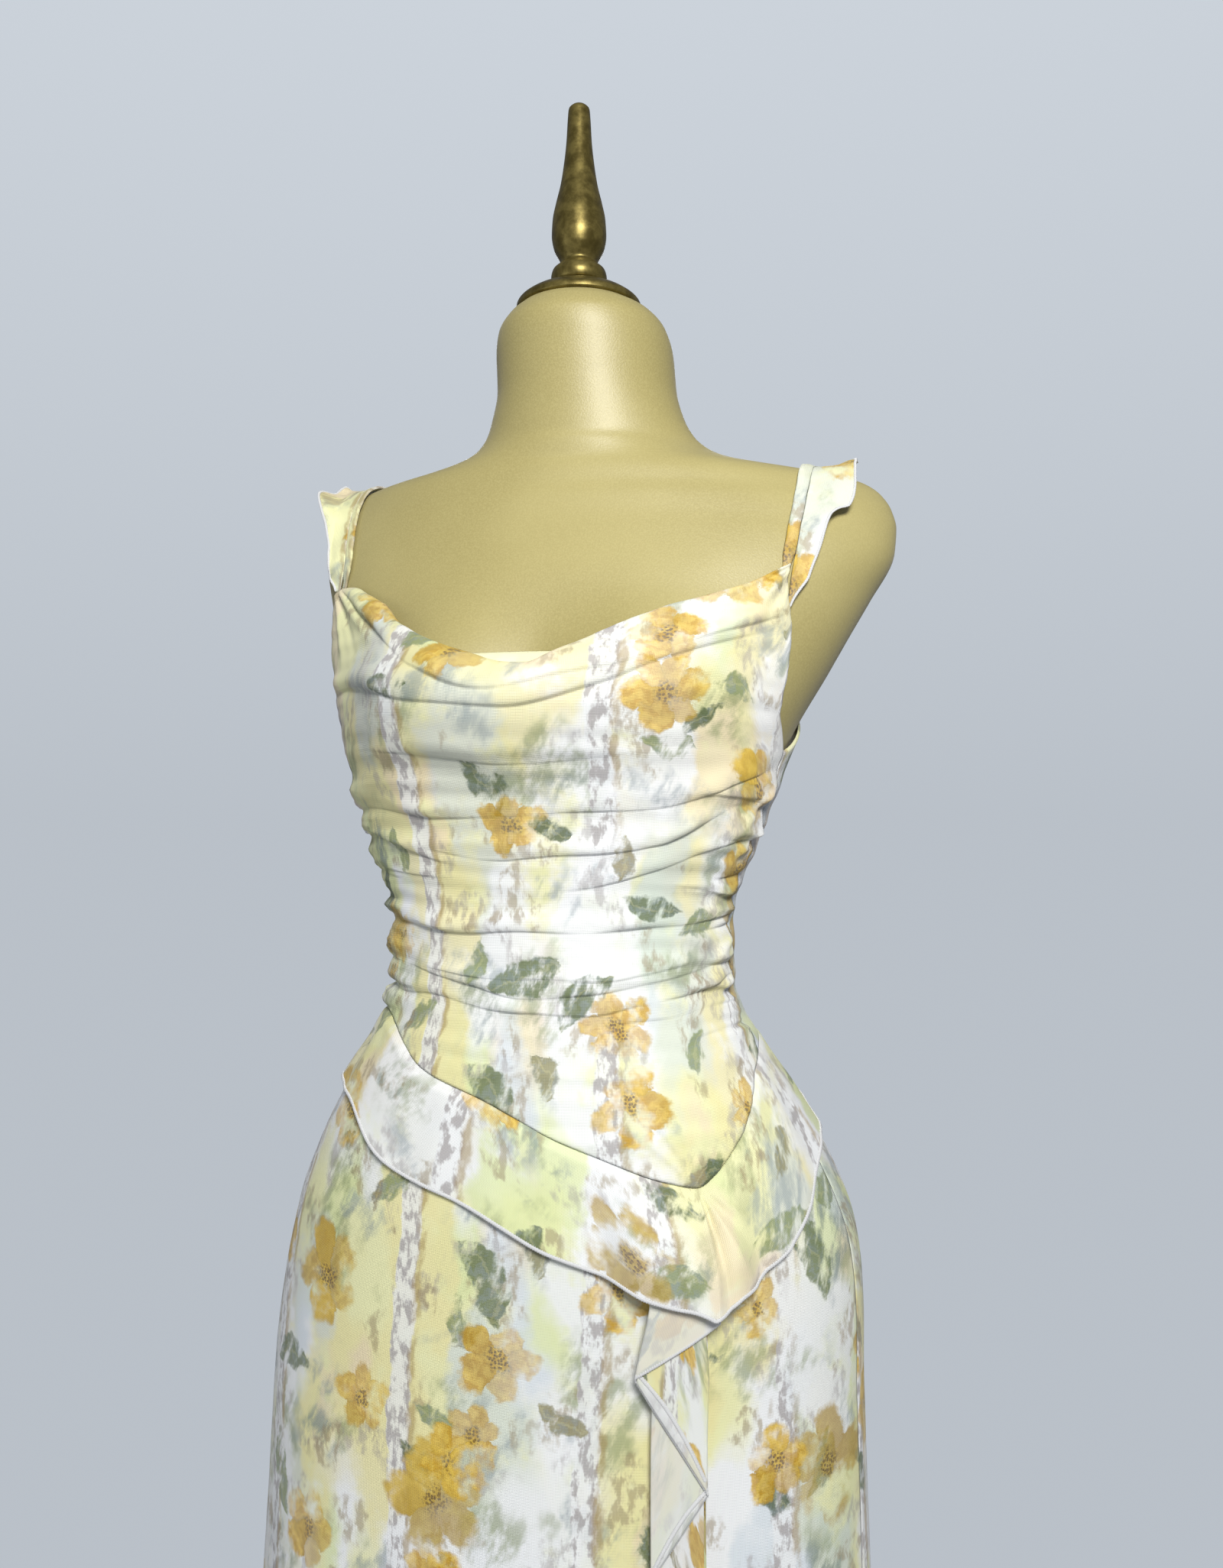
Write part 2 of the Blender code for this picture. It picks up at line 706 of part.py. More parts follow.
def cascade_ruffle():
    line = cascade_line()
    rows = np.array([0.0, 0.16, 0.34, 0.52, 0.7, 0.86, 1.0])
    hems = np.interp(line[:, 2], np.arange(len(CASCADE_HEMS)), CASCADE_HEMS)
    arc = np.column_stack([line[:, 0] * CASCADE_MM_PER_DEGREE, line[:, 1]])
    along = np.gradient(arc, axis=0)
    along = along / np.linalg.norm(along, axis=1)[:, None]
    across = np.column_stack([along[:, 1], -along[:, 0]])
    sheets = []
    for side in (-1, 1):
        moved = arc + across * side * RUFFLE_WALL / 2
        a = moved[:, :1] / CASCADE_MM_PER_DEGREE + 0 * rows
        off = moved[:, 1:] + 0 * rows
        z = hems[:, None] + (CASCADE_TOP - hems[:, None]) * rows
        spread = 1 + 0.10 * smooth((CASCADE_TOP - z) / 60)
        middle = (CASCADE_LEFT + CASCADE_RIGHT) / 2
        a = middle + (a - middle) * spread
        sheets.append(skin(a, z, off + skirt_off(a, z) - SKIRT_OFF))
    return sheets


def two_faced(name, outer, inner):
    """A closed wall from both of its faces."""
    across, up = outer.shape[:2]
    base = across * up
    faces = []
    for i in range(across - 1):
        for j in range(up - 1):
            a, b = i * up + j, (i + 1) * up + j
            faces.append((a, b, b + 1, a + 1))
            faces.append((base + a, base + a + 1, base + b + 1, base + b))
        a, b = i * up, (i + 1) * up
        faces.append((a, base + a, base + b, b))
        a, b = i * up + up - 1, (i + 1) * up + up - 1
        faces.append((a, b, base + b, base + a))
    last = (across - 1) * up
    for j in range(up - 1):
        faces.append((j, j + 1, base + j + 1, base + j))
        faces.append((last + j, base + last + j, base + last + j + 1, last + j + 1))
    return make(name, np.concatenate([outer.reshape(-1, 3), inner.reshape(-1, 3)]), faces)


for old in list(bpy.data.objects):
    bpy.data.objects.remove(old)

torso()
turned("neck_cap", CAP, 28)
turned("finial", FINIAL, 18)
turned("stand_collar", COLLAR, 20)
turned("stand_pole", POLE, 20)
turned("stand_foot", FOOT, 32)
bodice_front()
bodice_back()
neck_facing()
strap_piece("strap_left", 1, STRAP_START_LEFT)
strap_piece("strap_right", -1, STRAP_START_RIGHT)
flutter_piece("flutter_left", 1, FLUTTER_START_LEFT)
flutter_piece("flutter_right", -1, FLUTTER_START_RIGHT)
skirt("skirt_front", FRONT_COLUMNS)
skirt("skirt_back", BACK_COLUMNS)
hip_flounce()
two_faced("cascade_ruffle", *cascade_ruffle())
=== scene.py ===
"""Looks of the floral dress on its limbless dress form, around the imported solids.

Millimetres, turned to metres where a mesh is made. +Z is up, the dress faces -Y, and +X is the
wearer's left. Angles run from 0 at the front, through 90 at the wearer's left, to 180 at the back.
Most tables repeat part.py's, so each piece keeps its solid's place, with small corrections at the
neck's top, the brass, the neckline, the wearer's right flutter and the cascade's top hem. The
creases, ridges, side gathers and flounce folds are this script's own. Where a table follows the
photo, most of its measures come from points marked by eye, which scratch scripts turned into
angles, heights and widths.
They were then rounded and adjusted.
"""

import json

import bpy
import numpy as np
from mathutils import Matrix

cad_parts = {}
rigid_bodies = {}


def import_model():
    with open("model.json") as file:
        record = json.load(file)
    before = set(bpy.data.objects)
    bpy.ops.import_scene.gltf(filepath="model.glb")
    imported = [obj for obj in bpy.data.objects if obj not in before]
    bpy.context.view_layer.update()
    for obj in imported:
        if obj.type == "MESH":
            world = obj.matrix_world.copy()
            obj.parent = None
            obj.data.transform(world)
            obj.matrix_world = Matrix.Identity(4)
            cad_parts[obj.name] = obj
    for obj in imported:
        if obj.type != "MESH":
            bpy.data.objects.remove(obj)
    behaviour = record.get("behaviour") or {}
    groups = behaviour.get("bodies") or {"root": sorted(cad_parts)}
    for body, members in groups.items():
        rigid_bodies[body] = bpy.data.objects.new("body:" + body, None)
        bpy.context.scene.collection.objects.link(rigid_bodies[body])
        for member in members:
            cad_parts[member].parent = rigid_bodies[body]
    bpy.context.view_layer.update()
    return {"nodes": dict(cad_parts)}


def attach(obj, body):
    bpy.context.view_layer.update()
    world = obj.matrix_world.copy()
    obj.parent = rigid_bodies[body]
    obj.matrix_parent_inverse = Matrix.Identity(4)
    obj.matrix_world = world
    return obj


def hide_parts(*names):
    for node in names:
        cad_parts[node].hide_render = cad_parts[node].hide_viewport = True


# Driving sizes: heights, the side seams' angle, and how far each layer lies off the form
HEM_HEIGHT = 160.0
TORSO_BOTTOM = 700.0
NECK_TOP = 1500.0
SIDE_SEAM = 80.0
BACK_SIDE = 180.0 - SIDE_SEAM
FORM_INSET = 2.0
SKIRT_OFF = 2.1
BODICE_OFF = 2.7
BODICE_LEAST = 1.6
FLOUNCE_OFF = 4.2
STRAP_OFF = 2.9
CLOTH = 0.9

# The photograph's camera, in pixels of its frame, degrees and millimetres
FRAME_HEIGHT = 2052
FOCAL_PIXELS = 1550.0
CAMERA_TURN = 16.0
CAMERA_DISTANCE = 806.0
CAMERA_HEIGHT = 1155.0
CAMERA_PITCH = 1.55
CAMERA_YAW = 1.589

# The form's sections, from the skirt's hem line up to the neck
# Columns: height, half width, front, back, side power, centre y, centre x
BODY = np.array([
    (160, 214, 128, 142, 1.00, -8, -14),
    (400, 208, 118, 134, 1.00, -6, -14),
    (600, 204, 108, 127, 0.97, -5, -14),
    (700, 201, 106, 128, 0.95, -5, -13),
    (800, 197, 106, 131, 0.93, -6, -11),
    (850, 193, 107, 130, 0.93, -8, -7),
    (900, 184, 106, 124, 0.93, -12, -3),
    (940, 168, 102, 114, 0.93, -16, -2),
    (980, 145, 95, 101, 0.94, -22, -2),
    (1015, 123, 87, 88, 0.95, -26, -1.5),
    (1050, 109, 80, 80, 0.95, -28, -2),
    (1090, 109, 82, 81, 0.95, -27, -3),
    (1145, 126.5, 92, 89, 0.94, -24, -2.5),
    (1200, 149, 96, 98, 0.94, -16, -4.5),
    (1250, 170, 95, 104, 0.95, -6, 1),
    (1300, 189, 90, 104, 1.00, 4, 7),
    (1332, 200, 82, 99, 1.05, 11, 10),
    (1348, 201, 78, 95, 1.15, 14, 10),
    (1360, 198, 75, 91, 1.28, 15, 10),
    (1370, 193, 72, 87, 1.42, 16, 9),
    (1378, 184, 70, 84, 1.52, 16, 8),
    (1384, 168, 68, 81, 1.58, 16, 7),
    (1388.5, 144, 66, 78, 1.60, 15, 6),
    (1392.5, 121, 65, 76, 1.55, 14, 5),
    (1398, 99, 64, 74, 1.45, 13, 5),
    (1404, 85, 62, 71, 1.30, 12, 5),
    (1413, 74, 60, 67, 1.12, 10, 5),
    (1426, 67, 58, 63, 1.00, 8, 4.5),
    (1446, 62, 57, 61, 1.00, 6, 4),
    (1470, 61, 57, 60, 1.00, 4, 3),
    (1484, 58, 55, 57, 1.00, 2, 2),
    (1495, 50, 48, 50, 1.00, 1, 1),
    (1500, 42, 42, 42, 1.00, 0, 0),
])
SHOULDER_SLOPE = 0.029
SLOPE_FROM = 1210.0
SLOPE_TO = 1470.0

# The torso: its rounded base, how it draws in under the dress, and its rings
TORSO_ROUND = 14.0
TORSO_ROUND_IN = 12.0
TORSO_TAPER = 10.0
TORSO_TAPER_TALL = 90.0
INSET_BELOW = 1330.0
# Columns: first height, last height, count
TORSO_RINGS = (
    (718, 1330, 150),
    (1333, 1372, 24),
    (1373.2, 1412, 44),
    (1414, 1484, 40),
    (1485, NECK_TOP, 20),
)
TORSO_SIDES = 144

# The bust: how far out, where, and how wide
BUST_OUT = 38.0
BUST_X = 76.0
BUST_HEIGHT = 1226.0
BUST_WIDE = 44.0
BUST_ABOVE = 46.0
BUST_BELOW = 52.0

# Basque seam round the hips, and how the pieces meet there
# Columns: angle, height, width of the flounce below
SEAM = np.array([
    (-180, 1022, 60),
    (-110, 1032, 58),
    (-75, 1032, 53),
    (-53, 1025, 52),
    (-32, 1004, 58),
    (-8, 988, 62),
    (6, 972, 66),
    (19, 958, 65),
    (31, 946, 65),
    (37, 943, 67),
    (42, 949, 64),
    (48, 959, 64),
    (56, 973, 65),
    (64, 988, 65),
    (74, 1004, 63),
    (90, 1016, 61),
    (120, 1022, 60),
    (180, 1022, 60),
])
SEAM_GAP = 0.15
SEAM_LAP = 0.8
SEAM_RISE = 7.0
SKIRT_UNDER = 1.1

# The skirt's hanging folds, which deepen on the way down
FOLDS_FROM = 840.0
FOLDS_OVER = 520.0
FOLDS_DEEP = 5.0

# Front neckline, by shares of the way from the middle to an armhole
# Columns: across, height, how far the cowl stands off
COWL = np.array([
    (-1.0, 1305.5, 1),
    (-0.85, 1303.5, 2),
    (-0.7, 1296, 4),
    (-0.55, 1285.5, 6),
    (-0.4, 1266, 8),
    (-0.2, 1247.5, 10),
    (-0.1, 1241, 10),
    (0.0, 1235.8, 10),
    (0.08, 1235, 10),
    (0.14, 1239.5, 10),
    (0.25, 1251, 9),
    (0.4, 1269, 7),
    (0.6, 1284, 5),
    (0.85, 1300, 2),
    (1.0, 1312, 1),
])
COWL_ROLL = 4.5
COWL_DEEP = 70.0
FACING_ACROSS = (-0.5, 0.36)
FACING_TOP = 1243.0
FACING_WIDE = 34.0
FACING_INWARD = 3.0

# Armhole edges of the front, as height and the angle to the wearer's right and left
FRONT_EDGE = np.array([
    (1195, 80, 80),
    (1221, 74, 66),
    (1242, 71, 61),
    (1271, 68, 54.5),
    (1290, 64, 49.5),
    (1309, 57, 46.5),
    (1324, 54, 45.5),
])

# Top edge of the back, as the angle from its middle and the height
BACK_TOP = np.array([
    (0, 1231),
    (12, 1234),
    (24, 1246),
    (33, 1264),
    (38.5, 1288),
    (42.5, 1289),
    (47, 1270),
    (55, 1244),
    (66, 1226),
    (80, 1211),
    (92, 1200),
    (100, 1195),
])

# Cowl rolls and ruching creases of the front, by their heights at nine angles
STATIONS = np.linspace(-78, 78, 9)
# Columns: nine heights, depth, underside, roll, from angle, to angle
CREASES = np.array([
    (1325, 1306, 1272, 1234, 1222, 1231, 1261, 1287, 1322, 4.6, 5.5, 15, -74, 57),
    (1238, 1237, 1230, 1219, 1216, 1227, 1255, 1276, 1300, 5.6, 6.5, 17, -74, 54),
    (1212, 1202, 1195, 1192, 1187, 1188, 1197, 1212, 1226, 2.6, 6.5, 16, -46, 52),
    (1161, 1160, 1158, 1155, 1154, 1156, 1161, 1173, 1186, 3.4, 6.0, 15, -90, 80),
    (1148, 1142, 1134, 1126, 1120, 1118, 1118, 1118, 1118, 3.2, 5.0, 10, -90, -16),
    (1140, 1138, 1136, 1133, 1130, 1132, 1139, 1158, 1172, 3.2, 6.0, 13, -36, 80),
    (1124, 1122, 1119, 1116, 1114, 1114, 1114, 1114, 1114, 2.6, 4.5, 9, -90, -20),
    (1108, 1108, 1108, 1108, 1110, 1113, 1122, 1136, 1146, 2.4, 4.5, 10, 6, 90),
    (1089, 1088, 1086, 1085, 1086, 1086, 1088, 1090, 1094, 3.6, 3.6, 12, -90, 90),
    (1066, 1063, 1058, 1054, 1048, 1050, 1057, 1062, 1068, 3.0, 5.0, 11, -90, 90),
    (1070, 1068, 1063, 1060, 1057, 1058, 1062, 1068, 1074, 2.0, 3.6, 8, -44, 66),
    (1048, 1046, 1044, 1042, 1038, 1038, 1044, 1050, 1056, 2.8, 4.5, 11, -90, 90),
    (1026, 1026, 1026, 1027, 1028, 1030, 1033, 1037, 1040, 1.6, 5.0, 10, 20, 90),
])
CREASE_FADE = 18.0
CREASE_ROWS = 2.6
FINE_ROWS = 1400

# Side gathers: the notches that the ruching draws in, the puffs between, and short creases
GATHER_HEIGHTS = np.array([1161, 1142, 1122, 1105, 1089, 1065, 1047, 1028])
GATHER_TOP = 1186.0
GATHER_PUFF = 3.8
GATHER_REACH = 22.0
GATHER_STEEP = 0.30
GATHER_FADE = 12.0
GATHER_LONG = 24.0
GATHER_UNEVEN = 9.0
GATHER_PAST = 8.0
# Columns: depth, underside, roll
GATHER_CREASE = (2.2, 3.2, 7.0)
BACK_PUFF = 0.7 * GATHER_PUFF
BACK_REACH = 14.0

# How many waves make up an uneven ripple
WAVES = 14

# Soft ridges, and creases where the depth is negative, that open as they run from one place
# Columns: from angle, from height, to angle, to height, depth, width
RIDGES = np.array([
    (-80, 1150, -64, 1124, 2.4, 5.0),
    (-80, 1128, -66, 1115, 2.2, 4.5),
    (-80, 1098, -66, 1105, 2.0, 5.0),
    (-80, 1072, -64, 1061, 2.2, 4.5),
    (-80, 1040, -66, 1030, 1.8, 4.5),
    (80, 1176, 60, 1134, 2.6, 5.5),
    (80, 1150, 62, 1118, 2.4, 5.0),
    (80, 1118, 65, 1105, 2.0, 5.0),
    (80, 1080, 64, 1067, 2.2, 4.5),
    (80, 1056, 64, 1040, 2.0, 4.5),
    (-59, 1306, -30, 1246, 2.4, 5.0),
    (-59, 1306, -44, 1246, -1.6, 4.0),
    (-60, 1306, -54, 1240, 1.8, 5.0),
    (48, 1312, 26, 1284, 2.2, 4.0),
    (48, 1312, 32, 1272, -1.6, 3.0),
    (48, 1312, 40, 1262, 1.8, 4.5),
    (48, 1312, 46, 1256, -1.2, 3.5),
    (37, 944, 24, 984, 1.1, 2.6),
    (37, 944, 28, 994, -1.0, 2.2),
    (37, 944, 32, 988, 1.0, 2.4),
    (38, 945, 44, 982, 0.8, 2.6),
])
MM_PER_DEGREE = 2.6

# Flounce: its lowest tip, where it clears the cascade, its waves, and folds that fan from the tip
TIP_AT = 35.5
TIP_DROP = 4.0
TIP_WIDE = 2.6
TIP_TRIM = 5.0
FREE_EDGE_OFF = 0.9
CASCADE_CLEAR = 13.2
CLEAR_FROM = 15.0
CLEAR_TO = 48.0
CLEAR_FADE = 9.0
WAVES_FROM = 66.0
BEHIND_FROM = 95.0
WAVES_FADE = 30.0
HIP_FLAT = 0.85
HIP_WIDE = 22.0
FAN_FROM = 37.0
FAN_ROOT = 1.6
FAN_WIDE = 20.0
# Columns: place in shares of the fan's width, depth, width to the left, width to the right
FAN_FOLDS = (
    (-0.04, 3.6, 0.34, 0.06),
    (0.08, -2.2, 0.05, 0.10),
    (0.34, 2.4, 0.16, 0.06),
    (0.52, -1.2, 0.05, 0.10),
    (0.80, 1.8, 0.14, 0.07),
)
# Columns: from angle, to angle, count
FLOUNCE_AROUND = ((-180, 14, 210), (14, 52, 90), (52, 180, 140))

# Straps, on the body by an angle over the shoulder, 0 level in front and 90 on top
SHOULDER_Y = 14.0
SHOULDER_HEIGHT = 1320.0
SHOULDER_FAR = 170.0
STUMP_REACH = 178.0
STRAP_WIDTH = 7.5
STRAP_TUCK = 6.0
# Columns: angle over, inner edge, flutter's width, flutter's lift
STRAP_LEFT = np.array([
    (-30, 135.5, 3, 1),
    (-24, 135.5, 7.5, 2),
    (-14, 135.5, 10.5, 3),
    (-3, 136, 13, 3.5),
    (10, 136.8, 15, 4.5),
    (22, 138.4, 16.5, 6),
    (28, 139.2, 20, 9),
    (34, 139.7, 26, 12),
    (42, 140.5, 28, 14),
    (54, 142.2, 28, 14),
    (66, 144, 27, 14),
    (90, 146.5, 25, 13),
    (120, 146, 21, 10),
    (150, 139, 14, 6),
    (175, 127, 6, 3),
    (201, 113, 3, 1),
])
STRAP_RIGHT = np.array([
    (-18, 158, 3, 1),
    (-12, 158, 7.5, 3),
    (-3, 157.8, 12, 4.5),
    (8, 158, 13, 6),
    (23, 159.6, 14, 7),
    (40, 161.8, 16.5, 9),
    (53, 162.6, 20, 11),
    (63, 161.6, 24, 13),
    (72, 158, 27, 14),
    (81, 155, 27.5, 13),
    (95, 153, 26, 11),
    (120, 150, 21, 10),
    (150, 143, 14, 6),
    (175, 131, 6, 3),
    (201, 117, 3, 1),
])
STRAP_END = 199.0
FLUTTER_END = 178.0
FLUTTER_ROOT = STRAP_WIDTH + 0.2
FLUTTER_CALM = 84.0

# Cascade ruffle: layers from the skirt outward, folding between two angles
CASCADE_LEFT = 23.5
CASCADE_RIGHT = 35.5
CASCADE_TIP = 38.0
CASCADE_TOP = 893.0
CASCADE_OFF = 4.0
CASCADE_STEP = 1.9
CASCADE_MM_PER_DEGREE = 3.4
CASCADE_HEMS = np.array([541.0, 604.0, 657.0, 725.0, 773.0, 841.0, 874.0])
# Columns: fold, swing at the top, swing at the hem
CASCADE_SWING = np.array([
    (0, 0, 0),
    (1, 14, 10),
    (2, -7, -3),
    (3, 12, 5),
    (4, -6, -1),
    (5, 3, -6),
    (6, 0, -3),
])
# Columns: layer, how tall its hem curls up
CURLS = ((4, 12.0), (3, 8.0))

# Overlocked edges, and the faces that close their ends
OVERLOCK_WIDE = 1.15
OVERLOCK_THICK = 0.6
OVERLOCK_SWELL = 0.24
OVERLOCK_PITCH = 1.5
OVERLOCK_STEP = 0.47
OVERLOCK_SIDES = 8
OVERLOCK_END = np.array([(0, k, k + 1, k + 2) for k in (1, 3, 5)])
FLUTTER_EDGE = 0.75

# How finely each piece is made, along its first direction and its second
FRONT_GRID = (190, 255)
FACING_GRID = (120, 24)
BACK_GRID = (130, 180)
SKIRT_FRONT_GRID = (150, 210)
SKIRT_BACK_GRID = (120, 150)
STRAP_GRID = (190, 14)
FLUTTER_GRID = (190, 26)
CURL_GRID = (60, 8)
FLOUNCE_ROWS = 40
CASCADE_ROWS = 120

# Where each piece is cut from the printed cloth, across and up from a level on the body
WAIST_LEVEL = 1060.0
FACING_LEVEL = 1230.0
SKIRT_LEVEL = 900.0
MEAN_RADIUS = 130.0
CUT_FRONT = (0.0, 0.0)
CUT_BACK = (560.0, 140.0)
CUT_FACING = (300.0, 900.0)
CUT_SKIRT_FRONT = (0.0, -60.0)
CUT_SKIRT_BACK = (700.0, 40.0)
CUT_FLOUNCE = (120.0, 620.0)
CUT_CASCADE = (840.0, 320.0)
CUT_CURL = (1100.0, 90.0)

# Turned brass, as heights and radii
CAP = np.array([
    (1500.4, 0.0),
    (1500.4, 41.0),
    (1501.6, 43.0),
    (1504.0, 42.8),
    (1509.0, 38.0),
    (1514.0, 28.5),
    (1517.4, 19.0),
    (1518.0, 0.0),
])
FINIAL = np.array([
    (1518.4, 0.0),
    (1518.4, 15.5),
    (1520.0, 18.2),
    (1524.5, 19.2),
    (1529.0, 18.2),
    (1532.2, 15.0),
    (1535.0, 12.7),
    (1539.0, 14.4),
    (1545.0, 17.3),
    (1554.0, 18.8),
    (1565.0, 18.2),
    (1577.0, 15.8),
    (1589.0, 12.9),
    (1602.0, 10.8),
    (1620.0, 8.8),
    (1637.0, 7.8),
    (1642.8, 7.2),
    (1645.0, 5.2),
    (1645.4, 0.0),
])

# The print's colours
WHITE = (0.84, 0.86, 0.87)
LEMON = (0.80, 0.80, 0.42)
LIME = (0.70, 0.77, 0.40)
CREAM = (0.80, 0.74, 0.38)
BLUSH = (0.80, 0.66, 0.50)
MIST = (0.60, 0.68, 0.74)
SAGE = (0.24, 0.29, 0.13)
DARK_LEAF = (0.065, 0.10, 0.035)
BLUE_GREY = (0.22, 0.28, 0.32)
MAUVE = (0.32, 0.29, 0.29)
TAUPE = (0.32, 0.25, 0.14)
BARK = (0.36, 0.25, 0.09)
GOLD = (0.56, 0.32, 0.010)
GOLD_PALE = (0.76, 0.53, 0.08)
GOLD_DEEP = (0.36, 0.22, 0.015)
OCHRE = (0.38, 0.30, 0.08)
STAMEN = (0.13, 0.07, 0.015)
REVERSE = (0.74, 0.75, 0.76)
MESH_HOLE = (0.20, 0.20, 0.19)

# The other materials' colours
LINING_DARK = (0.84, 0.82, 0.50)
LINING_LIGHT = (0.88, 0.87, 0.66)
# The thread's darker colour is painted shade for the dips between its stitches; the lighter one is the
# thread's own white
THREAD_PAINTED_SHADE = (0.55, 0.56, 0.57)
THREAD_LIGHT = (0.92, 0.93, 0.94)
JERSEY_DARK = (0.350, 0.298, 0.112)
JERSEY_LIGHT = (0.40, 0.345, 0.138)
JERSEY_FIBRE = (0.50, 0.44, 0.19)
BRASS_DARK = (0.105, 0.080, 0.018)
BRASS_LIGHT = (0.205, 0.162, 0.046)
PAINT_DARK = (0.030, 0.030, 0.032)
PAINT_LIGHT = (0.050, 0.049, 0.048)
FLOOR_DARK = (0.765, 0.77, 0.785)
FLOOR_LIGHT = (0.775, 0.78, 0.795)

# The print's strips, the mesh weave and the overlock's stitches, in metres
STRIP_EVERY = 0.121
STRIP_WIDE = 0.017
MESH_PITCH = 0.0017
STITCH_PITCH = OVERLOCK_PITCH / 3000

# The backdrop, the floor and the lights, in metres and watts
WALL_LOW = (0.49, 0.53, 0.58)
WALL_HIGH = (0.65, 0.70, 0.76)
WALL_BLEND = 0.8
ROOM = (0.17, 0.18, 0.205)
FLOOR_RADIUS = 0.95
FLOOR_THICK = 0.02
FLOOR_GAP = 0.0005
# Columns: name, place, target, size, watts, colour
LIGHTS = (
    ("key", (0.62, -1.46, 1.98), (0.0, 0.0, 1.14), 0.55, 38.5, (1.0, 0.985, 0.955)),
    ("fill", (-1.5, -1.6, 1.1), (0.0, 0.0, 1.0), 1.0, 5, (0.96, 0.98, 1.0)),
    ("rim", (-0.6, 2.2, 1.9), (0.0, 0.0, 1.0), 1.4, 24, (0.97, 0.98, 1.0)),
)


def smooth(x):
    x = np.clip(x, 0, 1)
    return x * x * (3 - 2 * x)


def unit(vectors):
    return vectors / np.linalg.norm(vectors, axis=-1, keepdims=True)


def grid(across, up, size):
    """Two arrays of even steps, the first index running across and the second up."""
    return np.meshgrid(np.linspace(*across, size[0]), np.linspace(*up, size[1]), indexing="ij")


def slopes(x, y):
    """Tangents of a curve that never swings past its table."""
    step = np.diff(x)[:, None]
    rise = np.diff(y, axis=0) / step
    out = np.zeros_like(y)
    after = 2 * step[1:] + step[:-1]
    before = step[1:] + 2 * step[:-1]
    same = rise[:-1] * rise[1:] > 0
    low = np.where(same, rise[:-1], 1)
    high = np.where(same, rise[1:], 1)
    out[1:-1] = np.where(same, (after + before) / (after / low + before / high), 0)
    out[0] = rise[0]
    out[-1] = rise[-1]
    return out


def curve(x, xs, ys, tangents):
    """The smooth curve through a table, for each column of ys."""
    x = np.clip(x, xs[0], xs[-1])
    k = np.clip(np.searchsorted(xs, x, side="right") - 1, 0, len(xs) - 2)
    step = (xs[k + 1] - xs[k])[..., None]
    t = (x - xs[k])[..., None] / step
    value = ys[k] * (1 + 2 * t) * (1 - t) ** 2 + ys[k + 1] * t * t * (3 - 2 * t)
    value += tangents[k] * step * t * (1 - t) ** 2
    value += tangents[k + 1] * step * t * t * (t - 1)
    return np.moveaxis(value, -1, 0)


def table(rows):
    """A function that reads a table's columns by its first one."""
    rows = np.asarray(rows, float)
    tangents = slopes(rows[:, 0], rows[:, 1:])
    return lambda x: curve(np.asarray(x, float), rows[:, 0], rows[:, 1:], tangents)


body = table(BODY)
seam = table(SEAM)
cowl = table(COWL)
front_edge = table(FRONT_EDGE)
back_top = table(BACK_TOP)
straps = {1: table(STRAP_LEFT), -1: table(STRAP_RIGHT)}


def bust(x, z, bridged):
    """The bust's swell; cloth bridges straight across between the two sides."""
    across = np.abs(x)
    if bridged:
        across = np.maximum(across, BUST_X)
    tall = np.where(z > BUST_HEIGHT, BUST_ABOVE, BUST_BELOW)
    away = ((across - BUST_X) / BUST_WIDE) ** 2 + ((z - BUST_HEIGHT) / tall) ** 2
    return BUST_OUT * np.exp(-away)


def slope_at(z):
    """How far the shoulders fall to the wearer's left, for each unit across."""
    return SHOULDER_SLOPE * smooth((z - SLOPE_FROM) / 120) * smooth((SLOPE_TO - z) / 60)


def place(angle, z, bridged=True):
    """A point of the form at this angle (radians) and height."""
    width, front, back, power, centre_y, centre_x = body(z)
    sine = np.sin(angle)
    cosine = np.cos(angle)
    x = width * sine
    deep = np.where(cosine > 0, front, back)
    y = -deep * np.sign(cosine) * np.abs(cosine) ** power
    y = y - np.where(cosine > 0, np.abs(cosine) ** 0.8, 0) * bust(x, z, bridged)
    return np.stack([centre_x + x, centre_y + y, z - slope_at(z) * x], -1)


def skin(degrees, z, off, bridged=True):
    """The same point moved out from the form by off."""
    degrees, z, off = np.broadcast_arrays(*(np.asarray(v, float) for v in (degrees, z, off)))
    angle = np.radians(degrees)
    tiny = 1e-3
    du = place(angle + tiny, z, bridged) - place(angle - tiny, z, bridged)
    dv = place(angle, z + 0.5, bridged) - place(angle, z - 0.5, bridged)
    return place(angle, z, bridged) + unit(np.cross(du, dv)) * off[..., None]


def grid_normals(p):
    """Outward normals of a grid whose first index runs round and second runs up."""
    return unit(np.cross(np.gradient(p, axis=0), np.gradient(p, axis=1)))


def run(p, axis):
    """Distance along a grid's lines, or along a path, from the first point."""
    step = np.linalg.norm(np.diff(p, axis=axis), axis=-1)
    first = np.zeros_like(np.take(step, [0], axis))
    return np.cumsum(np.concatenate([first, step], axis), axis)


def cloth_map(p, degrees, heights, level, along=0.5):
    """Where each point lies in the flat cloth: across from the middle, and up from a level."""
    across = run(p, 0)
    across = across - across[np.argmin(np.abs(degrees[:, 0]))]
    u = along * across + (1 - along) * (np.radians(degrees) * MEAN_RADIUS)
    up = run(p, 1)
    base = np.array([np.interp(level, h, s) for h, s in zip(heights, up)])
    return np.stack([u, up - base[:, None]], -1)


